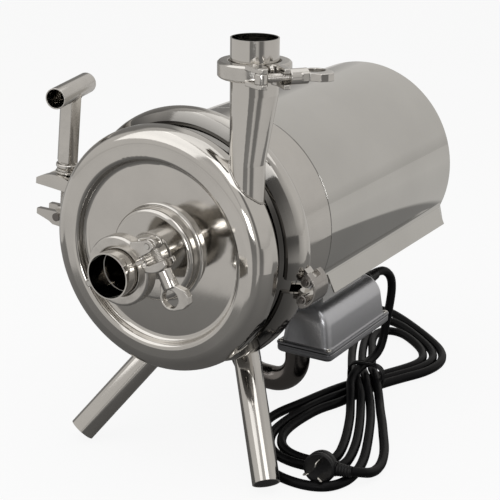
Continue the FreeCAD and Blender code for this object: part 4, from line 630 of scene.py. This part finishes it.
class PUMP_OT_bolts(Operator):
    """Cuts the threads of the three swing bolts"""

    bl_idname = "pump.bolts"
    bl_label = "Swing bolts"

    def execute(self, context):
        band = joined(
            thread(6, 0.9, 2, -14, 100),
            bolt_eye(11, 5.06, 16, -23.5),
            lathe([(0.01, -17.5), (5.6, -17.5), (5.6, -13), (0.01, -13)], 28),
            lathe(rounded_ring(6.3, 13.5, 29.8, 32.2, 0.7)))
        put_piece("band_swing_bolt_threaded", band, "cast_stainless", ["band_bolt"], HANDLE_LINE,
                  body="band_swing_bolt")
        for port, place in (("suction", SUCTION), ("discharge", DISCHARGE)):
            bolt = joined(thread(4.6, 0.7, 1.75, -35.2, 7.2), bolt_eye(7, 3.06, 11, 12.7))
            put_piece(f"{port}_swing_bolt_threaded", bolt, "cast_stainless", [f"{port}_bolt"],
                      place @ at(PORT_BOLT, 0, 0), body=f"{port}_swing_bolt")
        return {"FINISHED"}


class PUMP_OT_castings(Operator):
    """Rounds the cast clamp halves, wing nuts and hinge link"""

    bl_idname = "pump.castings"
    bl_label = "Castings"

    def execute(self, context):
        for port in ("suction", "discharge"):
            for part, body, voxel, passes in (
                    ("clamp_fork", "pump", 0.62, 3), ("clamp_seat", "pump", 0.62, 3),
                    ("wing_nut", f"{port}_nut", 0.5, 5)):
                node = f"{port}_{part}"
                put_mesh(f"{node}_cast", cast_copy(node, voxel, passes), "cast_stainless", [node],
                         body=body, smooth=60)
        put_mesh("band_link_cast", cast_copy("band_link", 0.45, 3), "worn_steel", ["band_link"], smooth=60)
        return {"FINISHED"}


def lower_to_crest(vert):
    """Brings a corner of the flat crest down to the round crest."""
    x, y, z = vert.co / MM
    across = y - BAND_MID
    if abs(across) > BAND_HALF + 0.01:
        return
    reach = hypot(x, z)
    crest = CREST - ROLL + sqrt(ROLL ** 2 - across ** 2)
    if crest + 0.02 < reach < CREST + 0.06:
        vert.co.x *= crest / reach
        vert.co.z *= crest / reach


class PUMP_OT_band(Operator):
    """Rolls the crest of the clamp band round instead of flat"""

    bl_idname = "pump.band"
    bl_label = "Clamp band"

    def execute(self, context):
        for node in ("upper_band", "lower_band"):
            mesh = NODES[node].data.copy()
            work = welded(mesh)
            for station in range(13):
                along = BAND_MID + BAND_HALF * sin(radians(15 * (station - 6)))
                bmesh.ops.bisect_plane(work, geom=[*work.verts, *work.edges, *work.faces], dist=1e-7,
                                       plane_co=(0, along * MM, 0), plane_no=(0, 1, 0))
            for vert in work.verts:
                lower_to_crest(vert)
            work.to_mesh(mesh)
            work.free()
            for leftover in ("custom_normal", "sharp_edge", "sharp_face"):
                if leftover in mesh.attributes:
                    mesh.attributes.remove(mesh.attributes[leftover])
            put_mesh(f"{node}_rolled", mesh, "groove_stainless", [node], smooth=38)
        return {"FINISHED"}


def hexagon(half_flats):
    """A hexagon's outline with small round corners."""
    loop, corner = [], 1.3
    reach = (half_flats - corner) / cos(radians(30))
    for side in range(6):
        middle = 60 * side
        for part in range(5):
            angle = radians(middle - 30 + 15 * part)
            loop.append((reach * cos(radians(middle)) + corner * cos(angle),
                         reach * sin(radians(middle)) + corner * sin(angle)))
    return loop


class PUMP_OT_handle(Operator):
    """Makes the T handle: collar, hexagonal stem, coped joint and cross tube"""

    bl_idname = "pump.handle"
    bl_label = "T handle"

    def execute(self, context):
        collar = [(6.2, 32.3), (11.4, 32.3), (12, 32.9), (12, 35), (11.4, 35.6), (9.6, 35.8), (9.6, 36.8),
                  (12.6, 37), (13.2, 37.7), (13.2, 40.6), (12.6, 41.3), (10.4, 41.6), (10.2, 43.6),
                  (6.2, 43.6)]
        stem = [[(x, y, 43.2) for x, y in hexagon(STEM - 0.9)]]
        for height in (44.3, 62, 80, 98, 112):
            stem.append([(x, y, height) for x, y in hexagon(STEM)])
        stem.append([(x, y, CROSS_HEIGHT - sqrt(max(CROSS ** 2 - x * x, 4)) + 0.4)
                     for x, y in hexagon(STEM)])
        cross = rounded_ring(CROSS - 1.5, CROSS, -43, 43, 0.5)
        across = at(0, 0, CROSS_HEIGHT) @ turned(-90, "X")
        cap = lathe([(0.01, 40.4), (CROSS - 1.2, 40.4), (CROSS - 1.2, 42), (0.01, 42)])
        shape = joined(lathe(collar), skin(stem), moved(joined(lathe(cross, 64), cap), across))
        put_piece("t_handle_made", shape, "cast_stainless", ["t_handle"],
                  HANDLE_LINE @ turned(HANDLE_TWIST, "Z"), body="band_handle", smooth=30)
        return {"FINISHED"}


def pan_head():
    """A small domed head with a cross slot, on its shank."""
    shank, rim = 1.8, 3.4
    slot_half, slot_reach, slot_depth = 0.5, 2.1, 0.9
    loops = [circle(shank, -10.4), circle(shank, 0), circle(rim, 0), circle(rim, 1)]
    for reach in (3.35, 3.15, 2.8, 2.4, 2, 1.6, 1.25, 0.95, 0.5):
        dome = circle(reach, 1.1 + 1.1 * sqrt(max(0, 1 - (reach / rim) ** 2)))
        loops.append([(x, y, height - slot_depth) if min(abs(x), abs(y)) < slot_half
                      and reach < slot_reach else (x, y, height) for x, y, height in dome])
    return skin(loops)


def hex_head():
    """A hexagon head with its bearing flange, its axis along Y."""
    loops = []
    for reach, height, sides in ((4, -12, 0), (4, 0, 0), (6.5, 0, 0), (6.5, 0.8, 0), (5.9, 1, 0),
                                 (6.3, 1.1, 6), (6.3, 4.8, 6), (5.6, 5.3, 0)):
        loop = []
        for turn in turns(48):
            flat = cos(radians((degrees(turn) % 60) - 30)) if sides else 1
            size = reach * 0.87 / flat if sides else reach
            loop.append((size * cos(turn), size * sin(turn), height))
        loops.append(loop)
    return moved(skin(loops), turned(-90, "X"))


class PUMP_OT_screws(Operator):
    """Sets the lid's cross-slot screws and the motor's flange bolts with one node tree"""

    bl_idname = "pump.screws"
    bl_label = "Screws"

    def execute(self, context):
        settings = context.scene.pump_screws
        tree = self.tree(settings.seed)
        inset = 4.5
        lid = [(x, y, BOX_SEAM) for x in (BOX_LEFT + inset, BOX_RIGHT - inset)
               for y in (BOX_FRONT + inset, BOX_REAR - inset)]
        self.place(tree, "lid_screws_set", pan_head(), lid, (0.0, 0.0, pi), "nickel_pins",
                   "brass_screws", ["lid_screws"], settings.size)
        bolt_circle, flange = 92, 221
        ring = [(bolt_circle * cos(turn), flange, bolt_circle * sin(turn))
                for turn in (radians(45 + 90 * index) for index in range(4))]
        self.place(tree, "flange_bolts_set", hex_head(), ring, (0.0, pi, 0.0), "cast_stainless",
                   SLOTS["flange_bolts"], ["flange_bolts"], 1.0)
        return {"FINISHED"}

    def tree(self, seed):
        """Instances of one screw on the points of a mesh, each turned by chance."""
        group = bpy.data.node_groups.new("screw_set", "GeometryNodeTree")
        for name, kind in (("Places", "NodeSocketGeometry"), ("Screw", "NodeSocketObject"),
                           ("Turn", "NodeSocketVector"), ("Size", "NodeSocketFloat"),
                           ("Finish", "NodeSocketMaterial")):
            group.interface.new_socket(name=name, in_out="INPUT", socket_type=kind)
        group.interface.new_socket(name="Screws", in_out="OUTPUT", socket_type="NodeSocketGeometry")
        work = NodeWork(group)
        given = group.nodes.new("NodeGroupInput")
        inputs = {socket.name: Wire(work, socket) for socket in given.outputs if socket.name}
        screw = work.node("GeometryNodeObjectInfo", {"Object": inputs["Screw"]}, "Geometry")
        chance = work.node("FunctionNodeRandomValue", {
            "Min": (0, 0, 0), "Max": inputs["Turn"], "Seed": seed}, data_type="FLOAT_VECTOR")
        turn = work.node("FunctionNodeEulerToRotation", {0: chance})
        placed = work.node("GeometryNodeInstanceOnPoints", {
            "Points": inputs["Places"], "Instance": screw, "Rotation": turn, "Scale": inputs["Size"]})
        real = work.node("GeometryNodeRealizeInstances", {"Geometry": placed})
        finished = work.node("GeometryNodeSetMaterial", {"Geometry": real, "Material": inputs["Finish"]})
        work.node("NodeGroupOutput", {0: finished})
        return group

    def place(self, tree, name, shape, places, turn, finish, slot, replaced, size):
        head = link(name + "_head", plain_mesh(name + "_head", *shape))
        carrier = link(name + "_places", plain_mesh(name + "_places", places))
        modifier = carrier.modifiers.new("screws", "NODES")
        modifier.node_group = tree
        values = {"Screw": head, "Turn": turn, "Size": size, "Finish": FINISHES[finish]}
        for item in tree.interface.items_tree:
            if item.name in values and item.in_out == "INPUT":
                modifier[item.identifier] = values[item.name]
        mesh = evaluated(carrier)
        if len(mesh.vertices) != len(places) * len(shape[0]):
            raise RuntimeError(f"{name}: the screws are missing")
        carrier.modifiers.remove(modifier)
        bpy.data.objects.remove(carrier)
        bpy.data.objects.remove(head)
        put_mesh(name, mesh, finish, replaced, slot, smooth=35)


class PUMP_OT_relief(Operator):
    """Makes the ribbed strain relief where the cord leaves the terminal box"""

    bl_idname = "pump.relief"
    bl_label = "Strain relief"

    def execute(self, context):
        outline = [(5.9, -4), (9, -4), (9, 4), (10, 4.2), (10.2, 4.8), (10.2, 9.4), (9.8, 10),
                   (9, 10.3), *ribs(7, 11, 3.5, 8.9, 0.32, 0.9), (6.5, 35.6), (5.9, 36)]
        put_piece("strain_relief", lathe(outline, 40), "black_plastic", ["cable_gland"],
                  at(90, 425.5, -118) @ turned(-90, "X"), smooth=50)
        return {"FINISHED"}


def plug_pins(rest):
    """Three flat pins with rounded tips."""
    shapes, off_centre = [], 10
    for angle, lean in ((80, 80), (200, 20), (320, -40)):
        loops = []
        for along, wide, thick in ((-10, 4, 1), (-24, 4, 1), (-27, 3.7, 0.95),
                                   (-28.6, 2.6, 0.75), (-29, 1.2, 0.4)):
            loops.append([(wide * squared(cos(turn), 0.4), along,
                           thick * squared(sin(turn), 0.6)) for turn in turns(24)])
        centre = at(off_centre * cos(radians(angle)), 0, off_centre * sin(radians(angle)))
        shapes.append(moved(skin(loops), centre @ turned(-lean, "Y")))
    put_piece("plug_blades", joined(*shapes), "nickel_pins", ["plug_pins"], rest)


def wire_tie():
    """A soft black wire wound round the crossing of the hank."""
    steps, wide, tall, middle = 120, 23.5, 17.4, 18.4
    path = []
    for step in range(steps):
        turn = tau * step / 40
        path.append((wide * squared(cos(turn), 0.62), -5 + 10 * step / (steps - 1),
                     middle + tall * squared(sin(turn), 0.62)))
    put_piece("cord_wire_tie", bead(path, 1.7, closed=False), "black_plastic", ["cord_tie"],
              at(97, 431, FLOOR) @ turned(8, "Z"))


class PUMP_OT_plug(Operator):
    """Moulds the plug, its ribbed tail and the cord's wire tie"""

    bl_idname = "pump.plug"
    bl_label = "Plug and tie"

    def execute(self, context):
        rest = at(170, 171, PLUG_CENTRE) @ turned(8, "Z") @ turned(-8, "X")
        face = [(0.01, -11), (14.6, -11), (15.2, -11.3), (16.9, -11.3), (17.9, -10.9), (18.5, -9.8),
                (18.5, -6), (17.9, -5.4), (17.9, -4.2), (18.4, -3.6), (18.3, 2), (17.4, 6.4), (15.2, 9.4),
                (12, 10.7), (7, 11), (0.01, 11)]
        tail = [(0.01, 10), (8.8, 10), (8.6, 18.2), *ribs(5, 19, 3.4, 7.9, 0.3, 0.8), (6, 36.4),
                (0.01, 36.4)]
        shape = joined(moved(lathe(face, 56), turned(-90, "X")), moved(lathe(tail, 36), turned(90, "Y")))
        put_piece("plug_moulded", shape, "black_plastic", ["plug_body"], rest, slot="black_rubber",
                  smooth=50)
        plug_pins(rest)
        wire_tie()
        return {"FINISHED"}


def box_level(height, side, end, corner):
    """One rounded rectangle of the box, inset from its widest outline."""
    side, end = side + corner, end + corner
    corners = ((BOX_RIGHT - side, BOX_REAR - end, 0), (BOX_LEFT + side, BOX_REAR - end, 90),
               (BOX_LEFT + side, BOX_FRONT + end, 180), (BOX_RIGHT - side, BOX_FRONT + end, 270))
    return [(x, y, height) for x, y in rounded(corners, corner, 6)]


class PUMP_OT_box(Operator):
    """Presses the terminal box's domed cover and its pan-shaped lid"""

    bl_idname = "pump.box"
    bl_label = "Terminal box"

    def execute(self, context):
        cover = [box_level(height, inset, inset, 4) for height, inset in (
            (BOX_FOOT, 0.6), (-157.6, 0), (-155.5, 0), (BOX_SEAM, 0.6))]
        step, corner = 2.6, 11
        for part in range(7):
            angle = radians(15 * part)
            run = 4 - step * (1 - sin(angle))
            cover.append(box_level(BOX_SEAM + step * (1 - cos(angle)), run, run, corner))
        for part in range(19):
            angle = radians(5 * part)
            rise = BOX_HEIGHT - 24 * (1 - sin(angle))
            crown = 1 - cos(angle)
            cover.append(box_level(BOX_FOOT + rise, 4 + 6 * rise / BOX_HEIGHT + 24 * crown,
                                    4 + 3.5 * rise / BOX_HEIGHT + 9 * crown, corner - 7.9 * crown))
        put_piece("box_cover", skin(cover), "grey_paint", ["terminal_box"])
        pan, bend = [], 5
        for part in range(9):
            angle = radians(90 * part / 8)
            inset = bend * (1 - sin(angle))
            pan.append(box_level(BOX_LID + bend * (1 - cos(angle)), inset, inset, 6))
        pan += [box_level(height, inset, inset, 6 - inset) for height, inset in (
            (-161.6, 0), (-161.3, 0.5), (-161, 0), (-159.5, 0), (-159, 0.5))]
        put_piece("box_pan", skin(pan), "grey_paint", ["terminal_lid"])
        return {"FINISHED"}


def tube_meets(node, start, heading, radius):
    """Where a tube of this radius, pushed along its axis, first meets a node's surface."""
    tree = BVHTree.FromPolygons([tuple(vert.co) for vert in NODES[node].data.vertices],
                                [tuple(face.vertices) for face in NODES[node].data.polygons])
    heading = Vector(heading).normalized()
    across = heading.orthogonal().normalized()
    other = heading.cross(across)
    path = []
    for turn in turns(96):
        origin = Vector(start) + radius * (cos(turn) * across + sin(turn) * other)
        hit = tree.ray_cast(origin * MM, heading, 0.4)[0]
        if hit is None:
            raise RuntimeError(f"the tube's edge misses {node}")
        path.append(tuple(hit / MM))
    return path


class PUMP_OT_welds(Operator):
    """Lays the weld beads at the pipe, the neck, the legs, the hoop and the T handle"""

    bl_idname = "pump.welds"
    bl_label = "Weld beads"

    def execute(self, context):
        neck, neck_end = 26, 80.4
        paths = [tube_meets("casing_bowl", (102, 113, 180), (0, 0, -1), 19.2),
                 [(neck * cos(turn), neck_end, neck * sin(turn)) for turn in turns(96)]]
        for side in (-1, 1):
            foot, lean = (Vector((side * x, y, z)) for x, y, z in (LEG_FOOT, LEG_LEAN))
            heading = Vector((-lean.x, lean.y, lean.z)).normalized()
            paths.append(tube_meets("lantern", foot + 60 * heading, heading, LEG_RADIUS))
        for end in HOOP_ENDS:
            paths.append([(end + x, HOOP_Y + y, HOOP_TOP) for x, y, _ in circle(HOOP_RADIUS, 0, 64)])
        put_piece("weld_beads", joined(*(bead(path, 1.25, 0.16) for path in paths)), "weld_steel")
        saddle = [(x, y, CROSS_HEIGHT - sqrt(CROSS ** 2 - x * x) - 0.1)
                  for x, y, _ in circle(STEM + 0.2, 0, 72)]
        put_piece("handle_weld", bead(saddle, 1.1, 0.18), "weld_steel",
                  matrix=HANDLE_LINE @ turned(HANDLE_TWIST, "Z"), body="band_handle")
        return {"FINISHED"}


def sheet_outline():
    """Points round the outside of the sheet, each with its outward direction."""
    reach, steps = radians(180 - SKIRT_TURN), 96
    bend = Vector((SHROUD_RADIUS * sin(reach), SHROUD_RADIUS * cos(reach)))
    lip = Vector(SKIRT_LIP)
    down = (lip - bend).normalized()
    points = []
    for step in range(steps + 1):
        angle = -reach + 2 * reach * step / steps
        out = Vector((sin(angle), cos(angle)))
        points.append((SHROUD_RADIUS * out, out))
    side = Vector((-down.y, down.x))
    skirt = [(bend + down * (lip - bend).length * share, side) for share in (0.12, 0.4, 0.7, 0.97, 1)]
    mirrored = [tuple(Vector((-one.x, one.y)) for one in pair) for pair in reversed(skirt)]
    return mirrored + points + skirt


def sheet_section(outline, along, edge):
    """One loop of the sheet, outside and then inside. The skirts are shorter than the round part."""
    skirt_top = -SHROUD_RADIUS * cos(radians(SKIRT_TURN)) - 1.5
    outside = [place - out * edge for place, out in outline]
    inside = [place - out * (SHEET - edge) for place, out in outline]
    on_skirt = min(max(along, SKIRT_FRONT), SKIRT_REAR)
    return [(place.x, along if place.y > skirt_top else on_skirt, place.y)
            for place in (*outside, *reversed(inside))]


class PUMP_OT_shroud(Operator):
    """Rolls the motor shroud: a bent sheet with flared skirts and dressed edges"""

    bl_idname = "pump.shroud"
    bl_label = "Motor shroud"

    def execute(self, context):
        edge, dressed, steps = 0.2, 0.35, 40
        first, last = SHROUD_FRONT + edge, SHROUD_REAR - edge
        middle = [first + (last - first) * step / steps for step in range(1, steps)]
        outline = sheet_outline()
        shell = [sheet_section(outline, SHROUD_FRONT, dressed)]
        shell += [sheet_section(outline, along, 0) for along in (first, *middle, last)]
        shell.append(sheet_section(outline, SHROUD_REAR, dressed))
        put_piece("shroud_rolled", skin(shell), "satin_stainless", ["shroud"], smooth=50)
        return {"FINISHED"}


class PUMP_OT_camera(Operator):
    """Sets up the camera where the pump is seen from its front right"""

    bl_idname = "pump.camera"
    bl_label = "Camera"

    def execute(self, context):
        stage = context.scene.pump_stage
        camera = link("camera", bpy.data.cameras.new("camera"))
        camera.data.lens = stage.lens
        camera.data.sensor_width = 36
        camera.data.clip_start, camera.data.clip_end = 0.05, 20
        camera.matrix_world = Matrix((
            (0.85720254, -0.17230673, 0.48529805, 0.832956),
            (0.51488378, 0.26859623, -0.81409506, -1.106135),
            (0.00992483, 0.94771644, 0.31895931, 0.494253),
            (0, 0, 0, 1)))
        context.scene.camera = camera
        return {"FINISHED"}


class PUMP_OT_cord(Operator):
    """Lays the mains lead: down from its gland, three turns of a figure-eight hank, and on to the plug"""

    bl_idname = "pump.cord"
    bl_label = "Mains lead"

    def execute(self, context):
        cord = context.scene.pump_cord
        points = metres(point if len(point) == 3 else (*point, FLAT)
                        for point in RUN + INNER_TURN + MIDDLE_TURN + OUTER_TURN + LEAD)
        curve = bpy.data.curves.new("mains_lead", "CURVE")
        curve.dimensions = "3D"
        curve.bevel_depth = cord.radius
        curve.bevel_resolution = 5
        curve.resolution_u = 6
        curve.use_fill_caps = True
        spline = curve.splines.new("NURBS")
        spline.points.add(len(points) - 1)
        for point, place in zip(spline.points, points):
            point.co = (*place, 1)
        spline.order_u = 3
        spline.use_endpoint_u = True
        lead = link("mains_lead", curve)
        curve.materials.append(FINISHES["black_rubber"])
        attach(lead, "pump")
        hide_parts("cord_run", "cord_hank", "cord_lead")
        return {"FINISHED"}


class PUMP_OT_finishes(Operator):
    """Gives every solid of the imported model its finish"""

    bl_idname = "pump.finishes"
    bl_label = "Finishes"

    def execute(self, context):
        FINISHES.update(make_finishes(context.scene.pump_colours))
        for name, node in NODES.items():
            finish = FINISHES[OWN_FINISH.get(name, SLOTS[name])]
            for slot in node.material_slots:
                slot.material = finish
        return {"FINISHED"}


def seen_or_mirrored(work, shown, mirror):
    """A shade that the camera and glass see, and another one that polished metal mirrors."""
    return work.blend(work.node("ShaderNodeLightPath", output="Is Glossy Ray"), shown, mirror)


def seen(work):
    """1 for the rays that see the white surroundings, 0 for the rays that light the pump."""
    total = work.node("ShaderNodeLightPath", output="Is Camera Ray")
    for name in ("Is Glossy Ray", "Is Transmission Ray"):
        total = work.maths("MAXIMUM", total, work.node("ShaderNodeLightPath", output=name))
    return total


def way_round(work, x, y):
    """Which way a place lies or faces, from 0 behind by 0.5 in front to 1 behind."""
    return work.maths("ARCTAN2", x, 0 - y) / tau + 0.5


def floor_paper():
    """White to the camera, in shadow under the pump, and mirrored darker on the pump's right."""
    material = bpy.data.materials.new("floor_paper")
    material.use_nodes = True
    work = NodeWork(material.node_tree)
    x, y, z = work.parts(work.place())
    reach = x * (0 - 1 / NEAR_SIDE)
    for way in (x / NEAR_SIDE, y * (0 - 1 / NEAR_FRONT), y / NEAR_BACK):
        reach = work.maths("MAXIMUM", reach, way)
    near = work.ramp(reach / 2, *FLOOR_NEAR)
    ways = work.ramp(way_round(work, x, y), *FLOOR_WAYS)
    mirror = work.blend(1, work.blend(1, near, ways, "DARKEN"), ROOM_TINT, "MULTIPLY")
    glow = work.node("ShaderNodeEmission", {"Color": seen_or_mirrored(work, GLOW_WHITE, mirror)})
    paper = work.node("ShaderNodeBsdfDiffuse", {"Color": PAPER_WHITE})
    mixed = work.node("ShaderNodeMixShader", {0: seen(work) * 0.9, 1: paper, 2: glow})
    work.node("ShaderNodeOutputMaterial", {0: mixed})
    return material


def room(context):
    """White to the camera, and to metal a room: a pale wall, a darker upper part and dark gaps."""
    world = bpy.data.worlds.new("room")
    context.scene.world = world
    world.use_nodes = True
    work = NodeWork(world.node_tree)
    x, y, z = work.parts(work.node("ShaderNodeTexCoord", output="Generated"))
    wall = work.ramp((z + 1) / 2, *ROOM_HEIGHT)
    gaps = work.ramp(way_round(work, x, y), *ROOM_GAPS)
    low = work.ramp((z + 1) / 2, (0.5, 1), (0.82, 1), (0.91, 0))
    gaps = work.blend(low, GLOW_WHITE, gaps)
    mirror = work.blend(1, work.blend(1, wall, gaps, "DARKEN"), ROOM_TINT, "MULTIPLY")
    colour = seen_or_mirrored(work, WALL_WHITE, mirror)
    sky = work.node("ShaderNodeBackground", {"Color": colour, "Strength": 0.5 + seen(work) * 0.5})
    work.node("ShaderNodeOutputWorld", {0: sky})


class PUMP_OT_stage(Operator):
    """Puts the pump on a pale floor in plain soft light"""

    bl_idname = "pump.stage"
    bl_label = "Stage"

    def execute(self, context):
        stage = context.scene.pump_stage
        reach, level = 12000, FLOOR - 0.2
        mesh = plain_mesh("floor", [(x * reach, y * reach, level)
                                    for x, y in ((-1, -1), (1, -1), (1, 1), (-1, 1))], [(0, 1, 2, 3)])
        floor = link("floor", mesh)
        mesh.materials.append(floor_paper())
        room(context)
        for name, place, size, energy in (
                ("key", (-0.9, -1.2, 1.9), 1.5, 6), ("fill", (1.1, -0.9, 1.9), 0.8, 2.6),
                ("top", (0.2, 0.5, 1.9), 1.6, 4.5), ("front", (0.48, -0.87, 0.14), 0.35, 2.4)):
            lamp = bpy.data.lights.new(name, "AREA")
            lamp.size = size
            lamp.energy = energy
            holder = link(name, lamp)
            spot = Vector(place).normalized() * stage.distance
            holder.location = spot + Vector((0, 0.25, 0))
            holder.rotation_euler = (-spot).to_track_quat("-Z", "Y").to_euler()
        context.scene.view_settings.view_transform = "Standard"
        return {"FINISHED"}


class PUMP_PT_panel(Panel):
    """Lists the pump's settings and operators in the sidebar"""

    bl_idname = "PUMP_PT_panel"
    bl_label = "Pump"
    bl_space_type = "VIEW_3D"
    bl_region_type = "UI"
    bl_category = "Pump"

    def draw(self, context):
        for group in GROUPS:
            settings = getattr(context.scene, group)
            for name in settings.bl_rna.properties.keys():
                if name not in ("rna_type", "name"):
                    self.layout.prop(settings, name)
        for operator in OPERATORS:
            self.layout.operator(operator.bl_idname)


OPERATORS = (PUMP_OT_camera, PUMP_OT_finishes, PUMP_OT_plug, PUMP_OT_cord, PUMP_OT_relief, PUMP_OT_bolts,
             PUMP_OT_band, PUMP_OT_handle, PUMP_OT_screws, PUMP_OT_castings, PUMP_OT_box, PUMP_OT_welds,
             PUMP_OT_shroud, PUMP_OT_stage)
GROUPS = {"pump_colours": PumpColours, "pump_cord": PumpCord, "pump_screws": PumpScrews,
          "pump_stage": PumpStage}


def register():
    for kind in (*GROUPS.values(), *OPERATORS, PUMP_PT_panel):
        bpy.utils.register_class(kind)
    for name, kind in GROUPS.items():
        setattr(bpy.types.Scene, name, PointerProperty(type=kind))


def unregister():
    for name in GROUPS:
        delattr(bpy.types.Scene, name)
    for kind in reversed((*GROUPS.values(), *OPERATORS, PUMP_PT_panel)):
        bpy.utils.unregister_class(kind)


def main():
    register()
    for operator in OPERATORS:
        group, name = operator.bl_idname.split(".")
        getattr(getattr(bpy.ops, group), name)()


if __name__ == "__main__":
    main()
